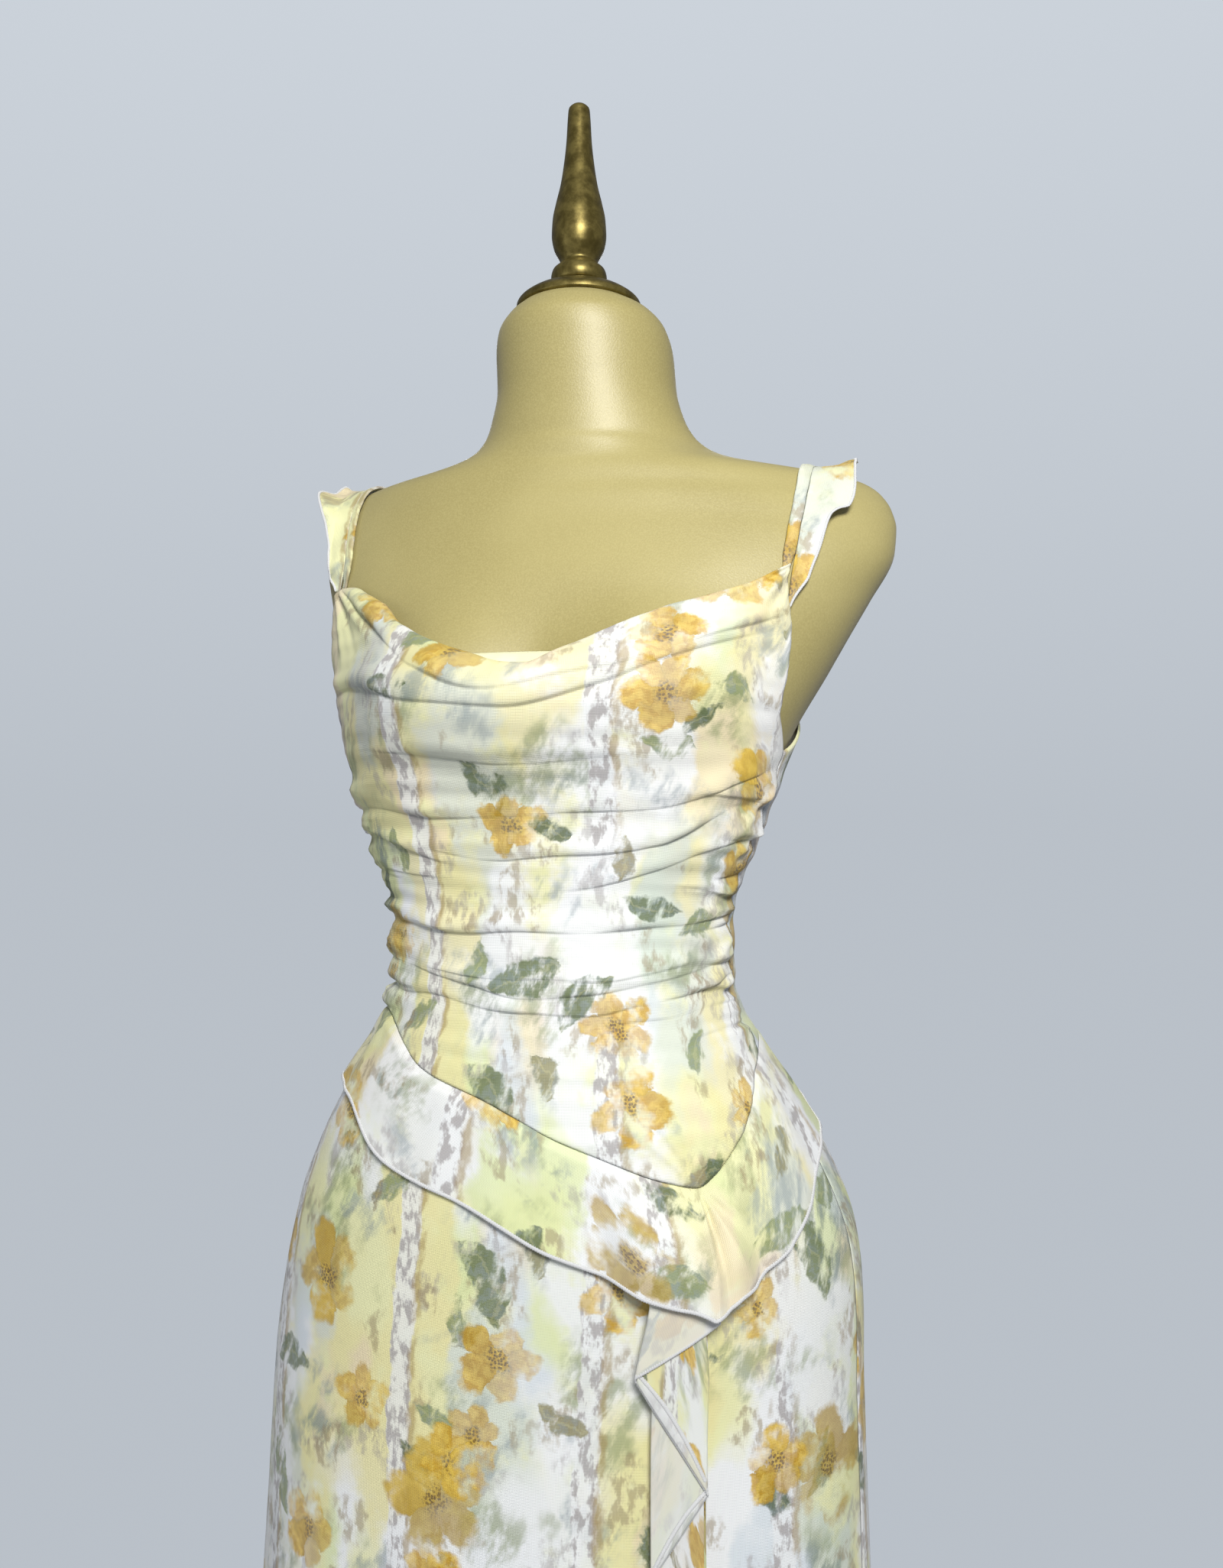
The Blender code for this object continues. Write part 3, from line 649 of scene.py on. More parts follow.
def mesh_object(name, points, quads, cloth=None):
    """A smooth-shaded mesh from points in millimetres, with its place in the flat cloth."""
    mesh = bpy.data.meshes.new(name)
    quads = np.asarray(quads, np.int32)
    mesh.vertices.add(len(points))
    mesh.vertices.foreach_set("co", (points / 1000).astype(np.float32).ravel())
    mesh.loops.add(quads.size)
    mesh.loops.foreach_set("vertex_index", quads.ravel())
    mesh.polygons.add(len(quads))
    mesh.polygons.foreach_set("loop_start", np.arange(len(quads), dtype=np.int32) * 4)
    mesh.polygons.foreach_set("loop_total", np.full(len(quads), 4, np.int32))
    mesh.update(calc_edges=True)
    mesh.polygons.foreach_set("use_smooth", np.ones(len(quads), bool))
    if cloth is not None:
        layer = mesh.attributes.new("cloth", "FLOAT_VECTOR", "POINT")
        layer.data.foreach_set("vector", cloth.astype(np.float32).ravel())
    obj = bpy.data.objects.new(name, mesh)
    bpy.context.scene.collection.objects.link(obj)
    return obj


def shell(name, outer, inner, cloth, cut, faces=(0.0, 1.0)):
    """A closed thin cloth; cut says where it lies in the flat cloth, faces which side is printed."""
    across, up = outer.shape[:2]
    index = np.arange(across * up).reshape(across, up)
    far = index.size

    def strip(line, turned):
        a, b = line[:-1], line[1:]
        quads = np.stack([a, a + far, b + far, b], -1)
        return quads[:, ::-1] if turned else quads

    a, b = index[:-1], index[1:]
    front = np.stack([a[:, :-1], b[:, :-1], b[:, 1:], a[:, 1:]], -1).reshape(-1, 4)
    quads = np.concatenate([
        front,
        front[:, ::-1] + far,
        strip(index[:, 0], False),
        strip(index[:, -1], True),
        strip(index[0], True),
        strip(index[-1], False),
    ])
    flat = (cloth.reshape(-1, 2) + np.array(cut)) / 1000
    sides = [np.column_stack([flat, np.full(len(flat), side)]) for side in faces]
    points = np.concatenate([outer.reshape(-1, 3), inner.reshape(-1, 3)])
    return mesh_object(name, points, quads, np.concatenate(sides))


def thin(name, outer, cloth, cut):
    return shell(name, outer, outer - grid_normals(outer) * CLOTH, cloth, cut)


def ring_quads(rings, sides):
    """The point numbers of a stack of closed rings, and the faces between them."""
    index = np.arange(rings * sides).reshape(rings, sides)
    after = np.roll(index, -1, 1)
    quads = np.stack([index[:-1], after[:-1], after[1:], index[1:]], -1)
    return index, quads.reshape(-1, 4)


def overlock(name, path, face, size=1.0):
    """A flat stitched band along a path; face holds the cloth's normal at each of its points."""
    along = run(path, 0)
    at = np.linspace(0, along[-1], int(along[-1] / OVERLOCK_STEP))
    path, normal = (np.stack([np.interp(at, along, v[:, k]) for k in range(3)], -1) for v in (path, face))
    tangent = unit(np.gradient(path, axis=0))
    side = unit(np.cross(tangent, normal))
    normal = np.cross(side, tangent)
    turn = np.arange(OVERLOCK_SIDES) * 2 * np.pi / OVERLOCK_SIDES
    lean = np.sin(2 * np.pi * (at[:, None] / OVERLOCK_PITCH + 0.25 * np.cos(turn)))
    ends = np.minimum(1, np.minimum(at, at[-1] - at) / 0.8 + 0.05)[:, None]
    swell = size * (1 + OVERLOCK_SWELL * lean) * ends
    wide = (OVERLOCK_WIDE * swell * np.cos(turn))[..., None]
    tall = (OVERLOCK_THICK * swell * np.sin(turn))[..., None]
    points = path[:, None] + side[:, None] * wide + normal[:, None] * tall
    index, quads = ring_quads(len(path), OVERLOCK_SIDES)
    quads = np.concatenate([quads, index[0][OVERLOCK_END], index[-1][OVERLOCK_END][:, ::-1]])
    stitch = np.stack([at[:, None] + 0 * turn, turn + 0 * at[:, None], 0 * lean], -1) / 1000
    return mesh_object(name, points.reshape(-1, 3), quads, stitch.reshape(-1, 3))


# Shape of the cloth


def ripple(x, y, seed):
    """Uneven soft waves, about one long and one high, the same at every run."""
    chance = np.random.default_rng(seed)
    total = 0
    for _ in range(WAVES):
        turn, length, start = chance.uniform((0, 0.6, 0), (np.pi, 1.6, 2 * np.pi))
        total += np.sin(2 * np.pi * length * (x * np.cos(turn) + y * np.sin(turn)) + start)
    return total * np.sqrt(2 / WAVES)


def fold_profile(up, underside, roll):
    """A roll that hangs over its crease: round underneath, easing back into the cloth above."""
    t = 1 - np.clip(up / underside, 0, 1)
    under = 0.5 * np.sqrt(1 - t * t) * smooth(up / 1.6) + 0.5 * smooth(up / (2.1 * underside))
    return under * np.exp(-1.25 * (np.clip(up, 0, None) / roll) ** 2)


def crease_lines():
    """Each long crease and each short side gather: its height by degrees, and how it fades."""
    lines = []
    for k, row in enumerate(CREASES):
        heights, rest = np.split(row, [len(STATIONS)])
        lines.append((table(np.column_stack([STATIONS, heights])), *rest, CREASE_FADE, k))
    for k, height in enumerate(GATHER_HEIGHTS):
        for side in (-1, 1):
            steep = GATHER_STEEP * np.sin(2.3 * k + side)
            reach = GATHER_LONG + GATHER_UNEVEN * np.sin(1.7 * k + 2 * side)
            outer = (side * (SIDE_SEAM + GATHER_PAST), height)
            inner = (side * (SIDE_SEAM - reach - 4), height + steep * reach)
            ends = sorted([outer, inner])
            seed = 30 + 2 * k + side
            lines.append((table(ends), *GATHER_CREASE, ends[0][0], ends[1][0], GATHER_FADE, seed))
    return lines


CREASE_LINES = crease_lines()


def crease_field(degrees, z):
    """How far the creases lift the cloth, and how near the closest crease is."""
    lift = np.zeros(np.shape(degrees))
    near = np.zeros(np.shape(degrees))
    for heights, depth, underside, roll, start, end, fade, seed in CREASE_LINES:
        uneven = np.clip(0.90 + 0.42 * ripple(degrees / 34, 0 * z, seed), 0.12, 1.4)
        there = smooth((degrees - start) / fade) * smooth((end - degrees) / fade)
        away = z - heights(degrees)[0] - 0.8 * ripple(degrees / 44, 0 * z, 60 + seed)
        open_up = underside * np.clip(1 + 0.35 * ripple(degrees / 30, 0 * z, 90 + seed), 0.5, 1.8)
        lift += depth * uneven * there * fold_profile(away, open_up, roll)
        near += there * np.exp(-((away - 0.8) / 2.0) ** 2)
    return lift, near


def ridges(degrees, z):
    """How far the tabled ridges lift the cloth; each starts narrow and dies away at its end."""
    lift = np.zeros(np.shape(degrees))
    for from_angle, from_height, to_angle, to_height, depth, width in RIDGES:
        run_x = (to_angle - from_angle) * MM_PER_DEGREE
        run_z = to_height - from_height
        length = np.hypot(run_x, run_z)
        x = (degrees - from_angle) * MM_PER_DEGREE
        y = z - from_height
        along = (x * run_x + y * run_z) / length ** 2
        beside = (x * run_z - y * run_x) / length
        opened = width * (0.45 + 0.9 * np.clip(along, 0, 1.2))
        there = smooth((along + 0.05) / 0.2) * smooth((1 - along) / 0.6)
        lift += depth * there * np.exp(-(beside / opened) ** 2)
    return lift


def side_gathers(from_seam, z, puff, reach, notch):
    """Puffs between the notches that the ruching draws into a side seam."""
    gap = np.min(np.abs(z[..., None] - GATHER_HEIGHTS), axis=-1)
    near = np.exp(-(from_seam / reach) ** 2)
    return puff * smooth(gap / notch) * near * smooth((GATHER_TOP - z) / 12)


def fine_wrinkles(degrees, z):
    """Small uneven wrinkles that run across the front, strongest towards the side seams."""
    near = np.exp(-((SIDE_SEAM - np.abs(degrees)) / 24) ** 2) * smooth((GATHER_TOP + 4 - z) / 20)
    long = ripple(degrees / 60, z / 13, 3)
    short = ripple(degrees / 26, z / 6.5, 4)
    return (0.26 + 0.45 * near) * long + (0.04 + 0.14 * near) * short


def cowl_off(z, across):
    """How far the cowl swings off the chest towards its top edge."""
    top, stand = cowl(across)
    return stand * smooth((z - (top - COWL_DEEP)) / 62)


def front_angle(across, z):
    """The angle of a point across the front, between its side and armhole edges."""
    right, left = front_edge(z)
    return np.where(across < 0, across * right, across * left)


def rolled(distance, radius):
    """How far an edge curls in, at this distance from the edge."""
    t = np.clip(1 - distance / radius, 0, 1)
    return radius * (1 - np.sqrt(np.clip(1 - t * t, 0, 1)))


def front_height(u, v, low, high):
    """Heights up the front for even steps of v, closer together where a crease runs."""
    fine = np.linspace(0, 1, FINE_ROWS)
    z = low[:, :1] + (high - low)[:, :1] * fine
    degrees = front_angle(u[:, :1] + 0 * fine, z)
    share = 1 + CREASE_ROWS * np.clip(crease_field(degrees, z)[1], 0, 1.2)
    share += CREASE_ROWS * np.exp(-((high[:, :1] - z) / 3.5) ** 2)
    along = np.cumsum(share, axis=1)
    along = (along - along[:, :1]) / (along[:, -1:] - along[:, :1])
    return np.array([np.interp(v[k], along[k], z[k]) for k in range(len(v))])


def bodice_front():
    u, v = grid((-1, 1), (0, 1), FRONT_GRID)
    low = seam(u * SIDE_SEAM)[0] - SEAM_LAP
    high = cowl(u)[0]
    z = front_height(u, v, low, high)
    degrees = front_angle(u, z)
    off = BODICE_OFF + cowl_off(z, u) + crease_field(degrees, z)[0]
    off += side_gathers(SIDE_SEAM - np.abs(degrees), z, GATHER_PUFF, GATHER_REACH, 7)
    off += ridges(degrees, z) + fine_wrinkles(degrees, z)
    off -= rolled(high - z, COWL_ROLL) + 0.25 * rolled(z - low, 1.6)
    p = skin(degrees, z, np.maximum(off, BODICE_LEAST))
    across = cloth_map(skin(degrees, z, BODICE_OFF), degrees, z, WAIST_LEVEL)[..., 0]
    up = cloth_map(p, degrees, z, WAIST_LEVEL)[..., 1]
    return thin("dress_bodice_front", p, np.stack([across, up], -1), CUT_FRONT)


def neck_facing():
    u, v = grid(FACING_ACROSS, (0, 1), FACING_GRID)
    edge = cowl(u)[0]
    high = edge + np.clip(FACING_TOP - edge, -6, 9)
    z = high - FACING_WIDE * (1 - v)
    off = BODICE_OFF + cowl_off(z, u) - FACING_INWARD - rolled(high - z, 1.5)
    degrees = front_angle(u, z)
    p = skin(degrees, z, off)
    return thin("dress_neck_facing", p, cloth_map(p, degrees, z, FACING_LEVEL), CUT_FACING)


def bodice_back():
    a, v = grid((-BACK_SIDE, BACK_SIDE), (0, 1), BACK_GRID)
    low = seam(np.where(a > 0, a - 180, a + 180))[0] - SEAM_LAP
    high = back_top(np.abs(a))[0]
    z = low + (high - low) * v
    off = BODICE_OFF + side_gathers(BACK_SIDE - np.abs(a), z, BACK_PUFF, BACK_REACH, 10)
    p = skin(180 + a, z, off - rolled(high - z, 2.0))
    return thin("dress_bodice_back", p, cloth_map(p, a, z, WAIST_LEVEL), CUT_BACK)


def skirt_off(degrees, z):
    """Soft hanging folds that start below the hip and deepen to the hem."""
    deep = smooth((FOLDS_FROM - z) / FOLDS_OVER) * FOLDS_DEEP
    turn = np.radians(degrees)
    wave = np.sin(7 * turn + 0.6) + 0.6 * np.sin(11 * turn + 2.0 + z / 400)
    return SKIRT_OFF + deep * (1.3 + wave)


def skirt(name, start, end, size, cut):
    a, v = grid((start, end), (0, 1), size)
    high = seam(np.where(a > 180, a - 360, a))[0] - SEAM_GAP
    z = HEM_HEIGHT + (high - HEM_HEIGHT) * v
    p = skin(a, z, skirt_off(a, z) - SKIRT_UNDER * smooth(1 - (high - z) / 14))
    return thin(name, p, cloth_map(p, a - (start + end) / 2, z, SKIRT_LEVEL, 1.0), cut)


def flounce_grid(around, drop):
    """Points of the flounce, by angles round the hips and shares of its width down from the seam."""
    a, t = np.meshgrid(around, drop, indexing="ij")
    high, width = seam(a)
    width += TIP_DROP * np.exp(-np.abs(a - TIP_AT) / TIP_WIDE)
    width -= TIP_TRIM * np.exp(-(((a - TIP_AT - 2) / 6) ** 2))
    down = width * t
    z = high - SEAM_GAP - down
    turn = np.radians(a)
    root = BODICE_OFF - 1.0
    off = root + (FLOUNCE_OFF - root) * smooth(down / SEAM_RISE) + FREE_EDGE_OFF * t
    clear = smooth((a - CLEAR_FROM) / CLEAR_FADE) * smooth((CLEAR_TO - a) / CLEAR_FADE)
    off += CASCADE_CLEAR * clear * smooth(t / 0.75)
    back = smooth((np.abs(a) - WAVES_FROM) / WAVES_FADE)
    behind = smooth((np.abs(a) - BEHIND_FROM) / WAVES_FADE)
    wave = 2.2 + 2.8 * behind + (2 + 2.5 * behind) * np.sin(9 * turn + 0.8)
    hip = HIP_FLAT * np.exp(-(((a - SIDE_SEAM) / HIP_WIDE) ** 2))
    off += back * (1 - hip) * t ** 1.4 * (wave + 1.7) - hip * t * FREE_EDGE_OFF
    off += (1 - back) * t ** 1.4 * (1.0 + 0.8 * np.sin(8 * turn + 1.0))
    fan = (a - FAN_FROM) / (FAN_ROOT + FAN_WIDE * t)
    for place_in, depth, left_wide, right_wide in FAN_FOLDS:
        beside = fan - place_in
        wide = np.where(beside < 0, left_wide, right_wide)
        off += depth * smooth(t / 0.25) * np.exp(-(np.abs(beside) / wide) ** 1.5)
    off += 0.35 * smooth(t / 0.3) * ripple(a / 16, down / 60, 7)
    return skin(a, z, off - 0.6 * rolled(down, 2.0))


def hip_flounce():
    stretches = [np.linspace(*stretch, endpoint=stretch[1] == 180) for stretch in FLOUNCE_AROUND]
    p = flounce_grid(np.concatenate(stretches), np.linspace(1, 0, FLOUNCE_ROWS))
    flat = np.stack([run(p, 0), run(p, 1)], -1)
    flat[..., 0] = flat[:, -1:, 0]
    piece = thin("dress_hip_flounce", p, flat, CUT_FLOUNCE)
    return piece, overlock("dress_flounce_overlock", p[:, 0], grid_normals(p)[:, 0])


def shoulder_hit(side, across, over):
    """How far from the shoulder's axis a ray at this angle over it leaves the form."""
    angle = np.radians(over)
    near = np.zeros(np.shape(across))
    far = near + SHOULDER_FAR
    for _ in range(40):
        middle = (near + far) / 2
        y = SHOULDER_Y - middle * np.cos(angle)
        z = SHOULDER_HEIGHT + middle * np.sin(angle)
        z = z + slope_at(z) * side * across
        width, front, back, power, centre_y, _centre_x = body(z)
        deep = np.where(y < centre_y, front, back)
        inside = (across / width) ** 2 + (np.abs(y - centre_y) / deep) ** (2 / power) < 1
        inside = inside & (z < NECK_TOP)
        near = np.where(inside, middle, near)
        far = np.where(inside, far, middle)
    return near


def over_shoulder(side, across, over, off):
    """A point off units outside the form, by its distance from the middle and the angle over."""
    angle = np.radians(over)
    limit = np.minimum(across, STUMP_REACH + 6 * np.sin(angle))
    reach = shoulder_hit(side, limit, over) + off
    y = SHOULDER_Y - reach * np.cos(angle)
    z = SHOULDER_HEIGHT + reach * np.sin(angle)
    return np.stack([body(z)[5] + side * across, y, z], -1)


def over_piece(name, side, p, across, cut):
    """A cloth piece that lies over a shoulder, its printed side out, and its points."""
    flat = np.stack([across, run(p, 0)], -1)
    if side > 0:
        p = p[:, ::-1]
        flat = flat[:, ::-1]
    return thin(name, p, flat, cut), p


def strap_piece(name, side, start, cut):
    a, w = grid((start - STRAP_TUCK, STRAP_END), (0, 1), STRAP_GRID)
    narrow = 1 - 0.35 * smooth((start + 6 - a) / 10)
    across = straps[side](a)[0] + STRAP_WIDTH * (0.5 + (w - 0.5) * narrow)
    edge = rolled(np.minimum(w, 1 - w) * STRAP_WIDTH, 1.2)
    folds = 0.35 * ripple(a / 26, w * 1.6, 11 + side)
    tuck = 1.6 * smooth((start + 4 - a) / 8)
    p = over_shoulder(side, across, a, STRAP_OFF + 0.7 * np.sin(np.pi * w) + folds * w - edge - tuck)
    return over_piece(name, side, p, STRAP_WIDTH * w, cut)[0]


def flutter_piece(name, side, start, cut):
    a, w = grid((start, FLUTTER_END), (0, 1), FLUTTER_GRID)
    inner, width, lift = straps[side](a)
    live = smooth((a - start) / 24) * (1 - 0.85 * smooth((a - FLUTTER_CALM) / 16))
    across = inner + FLUTTER_ROOT + width * w * (1 - 0.7 * smooth((start + 12 - a) / 12))
    ruffle = 0.16 * width * np.sin(np.radians(a) * 7 + 0.5)
    ruffle += 0.05 * width * ripple(a / 22, w * 0.8, 23 + side)
    off = STRAP_OFF + (lift + ruffle * live) * w ** 1.3
    p = over_shoulder(side, across, a, np.maximum(off, 2.5 + 1.2 * w))
    piece, p = over_piece(name, side, p, width * w, cut)
    row = 0 if side > 0 else -1
    return piece, overlock(name + "_overlock", p[:, row], grid_normals(p)[:, row], FLUTTER_EDGE)


def cascade_line():
    """The folded strip seen from above: degrees and stand-off, with each point's layer place."""
    layers = len(CASCADE_HEMS) - 1
    radius = CASCADE_STEP / 2
    line = []
    for k in range(layers):
        start, end = CASCADE_LEFT, CASCADE_RIGHT
        if k % 2 == 0:
            start, end = end, start
        if k == layers - 1:
            end = CASCADE_TIP
        off = CASCADE_OFF + k * CASCADE_STEP
        for s in np.linspace(0.05, 0.95, 12):
            line.append((start + (end - start) * s, off, k + s))
        if k < layers - 1:
            away = 1 if end > start else -1
            for turn in (22, 45, 68, 90, 112, 135, 158):
                r = np.radians(turn)
                line.append((
                    end - away * 0.5 + away * radius * np.sin(r) / CASCADE_MM_PER_DEGREE,
                    off + radius - radius * np.cos(r),
                    k + 0.95 + 0.1 * turn / 180,
                ))
    return np.array(line)


def cascade_points(at_fold, degrees, off, z):
    """Points on the cascade, its folds swung aside a little, more towards the hem."""
    down = smooth((CASCADE_TOP - z) / 60)
    folds, at_top, at_hem = CASCADE_SWING.T
    swing = np.interp(at_fold, folds, at_top) * (1 - down) + np.interp(at_fold, folds, at_hem) * down
    a = degrees + swing / CASCADE_MM_PER_DEGREE
    return skin(a, z, off + skirt_off(a, z) - SKIRT_OFF)


def cascade_hem(at_fold):
    return np.interp(at_fold, np.arange(len(CASCADE_HEMS)), CASCADE_HEMS)


def cascade_ruffle():
    line = cascade_line()
    rows = np.linspace(0, 1, CASCADE_ROWS)
    at_fold = line[:, 2:] + 0 * rows
    hems = cascade_hem(at_fold)
    z = hems + (CASCADE_TOP - hems) * rows
    arc = np.column_stack([line[:, 0] * CASCADE_MM_PER_DEGREE, line[:, 1]])
    along = unit(np.gradient(arc, axis=0))
    across = np.column_stack([along[:, 1], -along[:, 0]])
    sheets = []
    for side in (-1, 1):
        moved_arc = arc + across * side * CLOTH / 2
        degrees = moved_arc[:, :1] / CASCADE_MM_PER_DEGREE + 0 * rows
        sheets.append(cascade_points(at_fold, degrees, moved_arc[:, 1:] + 0 * rows, z))
    outer, inner = sheets
    flat = np.stack([run(outer, 0)[:, :1] + 0 * rows, run(outer, 1)], -1)
    piece = shell("dress_cascade_ruffle", outer, inner, flat, CUT_CASCADE, (1.0, 0.0))
    normals = outer[:, 0] - inner[:, 0]
    return piece, overlock("dress_cascade_overlock", (outer[:, 0] + inner[:, 0]) / 2, normals)


def cascade_curl(name, layer, tall):
    """The hem of one layer, curled up over its face so that the pale reverse shows."""
    at_fold, rise = grid((layer + 0.04, layer + 0.96), (0, 1), CURL_GRID)
    line = cascade_line()
    degrees = np.interp(at_fold, line[:, 2], line[:, 0])
    off = CASCADE_OFF + layer * CASCADE_STEP + 1.0 + 0.5 * np.sin(np.pi * rise)
    bow = np.sin(np.pi * (at_fold - layer))
    z = cascade_hem(at_fold) - 0.4 + tall * (0.35 + 0.65 * bow) * rise
    p = cascade_points(at_fold, degrees, off, z)
    if layer % 2 == 0:
        p = p[::-1]
    flat = np.stack([run(p, 0), run(p, 1)], -1)
    normals = grid_normals(p)
    cut = (CUT_CURL[0], CUT_CURL[1] * layer)
    piece = shell(name, p, p - normals * CLOTH / 2, flat, cut, (1.0, 1.0))
    return piece, overlock(name + "_overlock", p[:, -1], normals[:, -1])


# The form and its brass


def turned(name, profile, step, sides):
    """A turned solid from heights and radii, joined by an easy curve and sharp at the ends."""
    along = run(profile[1:-1], 0)
    easy = table(np.column_stack([along, profile[1:-1]]))
    z, r = easy(np.append(np.arange(0, along[-1], step), along[-1]))
    z, r = np.vstack([profile[0], np.column_stack([z, r]), profile[-1]]).T[..., None]
    r = np.maximum(r, 0.02)
    turn = np.arange(sides) * 2 * np.pi / sides
    points = np.stack([r * np.sin(turn), -r * np.cos(turn), z + 0 * turn], -1)
    return mesh_object(name, points.reshape(-1, 3), ring_quads(len(z), sides)[1])


def torso():
    base = TORSO_BOTTOM + TORSO_ROUND * (1 - np.cos(np.linspace(0, np.pi / 2, 12)))
    heights = np.concatenate([base, *(np.linspace(*rings) for rings in TORSO_RINGS)])
    z, a = np.meshgrid(heights, np.arange(TORSO_SIDES) * 360 / TORSO_SIDES, indexing="ij")
    inset = TORSO_TAPER * (1 - smooth((z - TORSO_BOTTOM) / TORSO_TAPER_TALL))
    inset += TORSO_ROUND_IN * (1 - np.sqrt(np.clip((z - TORSO_BOTTOM) / TORSO_ROUND, 0, 1)))
    inset += FORM_INSET * smooth((INSET_BELOW - z) / 60)
    rings = skin(a, z, 0, bridged=False)
    middle = np.stack([body(z)[5], body(z)[4], z], -1)
    rings[..., :2] = rings[..., :2] - unit((rings - middle)[..., :2]) * inset[..., None]
    floor = middle[:1] + (rings[:1] - middle[:1]) * 0.001
    floor[..., 2] = rings[:1, :, 2]
    top = rings[-1:] * np.array([0.001, 0.001, 1.0])
    points = np.concatenate([floor, rings, top])
    return mesh_object("form_torso_fine", points.reshape(-1, 3), ring_quads(*points.shape[:2])[1])


# Materials


class Value:
    """One output of a node, so that sums of outputs are written as sums."""

    def __init__(self, graph, socket):
        self.graph = graph
        self.socket = socket

    def also(self, output):
        """Another output of the same node."""
        return Value(self.graph, self.socket.node.outputs[output])

    def __add__(self, other):
        return self.graph.math("ADD", self, other)

    def __mul__(self, other):
        return self.graph.math("MULTIPLY", self, other)

    def __sub__(self, other):
        return self.graph.math("SUBTRACT", self, other)

    def __rsub__(self, other):
        return self.graph.math("SUBTRACT", other, self)

    def __truediv__(self, other):
        return self.graph.math("DIVIDE", self, other)

    def __abs__(self):
        return self.graph.math("ABSOLUTE", self)

    __radd__ = __add__
    __rmul__ = __mul__


class Graph:
    """Short calls for building the nodes of a material or a world."""

    def __init__(self, owner, shader="ShaderNodeBsdfPrincipled", output="ShaderNodeOutputMaterial"):
        owner.use_nodes = True
        self.owner = owner
        self.nodes = owner.node_tree.nodes
        self.links = owner.node_tree.links
        self.nodes.clear()
        self.shader = self.nodes.new(shader)
        self.links.new(self.shader.outputs[0], self.nodes.new(output).inputs["Surface"])

    def put(self, socket, value):
        if isinstance(value, Value):
            self.links.new(value.socket, socket)
        else:
            socket.default_value = value

    def node(self, kind, inputs=(), output=0, **settings):
        """A new node, its inputs given in order or by their keys; gives back one of its outputs."""
        made = self.nodes.new(kind)
        for key, value in settings.items():
            setattr(made, key, value)
        for key, value in inputs.items() if isinstance(inputs, dict) else enumerate(inputs):
            self.put(made.inputs[key], value)
        return Value(self, made.outputs[output])

    def set(self, **values):
        """Sets the shader's sockets, and gives back what it shades."""
        for key, value in values.items():
            self.put(self.shader.inputs[key.replace("_", " ")], value)
        return self.owner

    def math(self, operation, *values):
        return self.node("ShaderNodeMath", values, operation=operation)

    def step(self, value, low, high, top=1.0):
        """0 below low, top above high, smooth between."""
        inputs = (value, low, high, 0.0, top)
        return self.node("ShaderNodeMapRange", inputs, interpolation_type="SMOOTHSTEP")

    def vector(self, operation, *values):
        return self.node("ShaderNodeVectorMath", values, operation=operation)

    def scaled(self, vector, x, y):
        return self.vector("MULTIPLY", vector, (x, y, 1.0))

    def moved(self, vector, x, y):
        return self.vector("ADD", vector, (x, y, 0.0))

    def wander(self, noise, reach):
        """A small shift to either side, up to half of reach, from a noise's colour."""
        inputs = {0: self.vector("SUBTRACT", noise, (0.5, 0.5, 0.5)), "Scale": reach}
        return self.node("ShaderNodeVectorMath", inputs, operation="SCALE")

    def turned(self, vector, angle):
        inputs = {"Vector": vector, "Angle": angle}
        return self.node("ShaderNodeVectorRotate", inputs, rotation_type="Z_AXIS")

    def apart(self, vector):
        x = self.node("ShaderNodeSeparateXYZ", (vector,))
        return x, x.also(1), x.also(2)

    def together(self, x, y):
        return self.node("ShaderNodeCombineXYZ", (x, y))

    def noise(self, vector, scale, detail=2.0, rough=0.5, space="2D"):
        inputs = {"Vector": vector, "Scale": scale, "Detail": detail, "Roughness": rough}
        return self.node("ShaderNodeTexNoise", inputs, noise_dimensions=space)

    def grain(self, scale, detail=2.0, rough=0.5):
        """Noise through the object's own space."""
        where = self.node("ShaderNodeTexCoord", output="Object")
        return self.noise(where, scale, detail, rough, "3D")

    def cells(self, vector, scale, random):
        inputs = {"Vector": vector, "Scale": scale, "Randomness": random}
        return self.node("ShaderNodeTexVoronoi", inputs, "Distance", voronoi_dimensions="2D")

    def mix(self, factor, a, b):
        a, b = (v if isinstance(v, Value) else (*v, 1.0) for v in (a, b))
        return self.node("ShaderNodeMix", {0: factor, 6: a, 7: b}, 2, data_type="RGBA")

    def bump(self, height, distance, strength):
        inputs = {"Strength": strength, "Distance": distance, "Height": height}
        return self.node("ShaderNodeBump", inputs)

    def cloth(self):
        """The place in the flat cloth: across and up in metres, and 0 or 1 for the side."""
        return self.node("ShaderNodeAttribute", output="Vector", attribute_name="cloth")


def motif_frame(g, at, scale, random):
    """The cell that a motif sits in: its own turned axes, and three random numbers."""
    cell = g.cells(at, scale, random)
    red, green, blue = g.apart(cell.also("Color"))
    local = g.turned(g.vector("SUBTRACT", at, cell.also("Position")), red * 6.283)
    return local, red, green, blue


def leaf_layer(g, at, scale, length, width, share):
    """Pointed leaves, one to a cell: how much leaf is here, its midrib and its own shade."""
    local, _red, green, blue = motif_frame(g, at, scale, 0.9)
    x, y, _z = g.apart(local)
    grown = 0.7 + green * 0.6
    taper = g.math("MAXIMUM", 1.0 - g.math("POWER", abs(x) / (grown * (length / 2)), 2.0), 0.0)
    bend = abs(y - x * x * 9.0)
    shape = g.step(taper * (grown * (width / 2)) - bend, -0.0004, 0.0024)
    rib = g.step(bend, 0.0011, 0.0003)
    return shape * g.math("GREATER_THAN", share, blue), rib, green


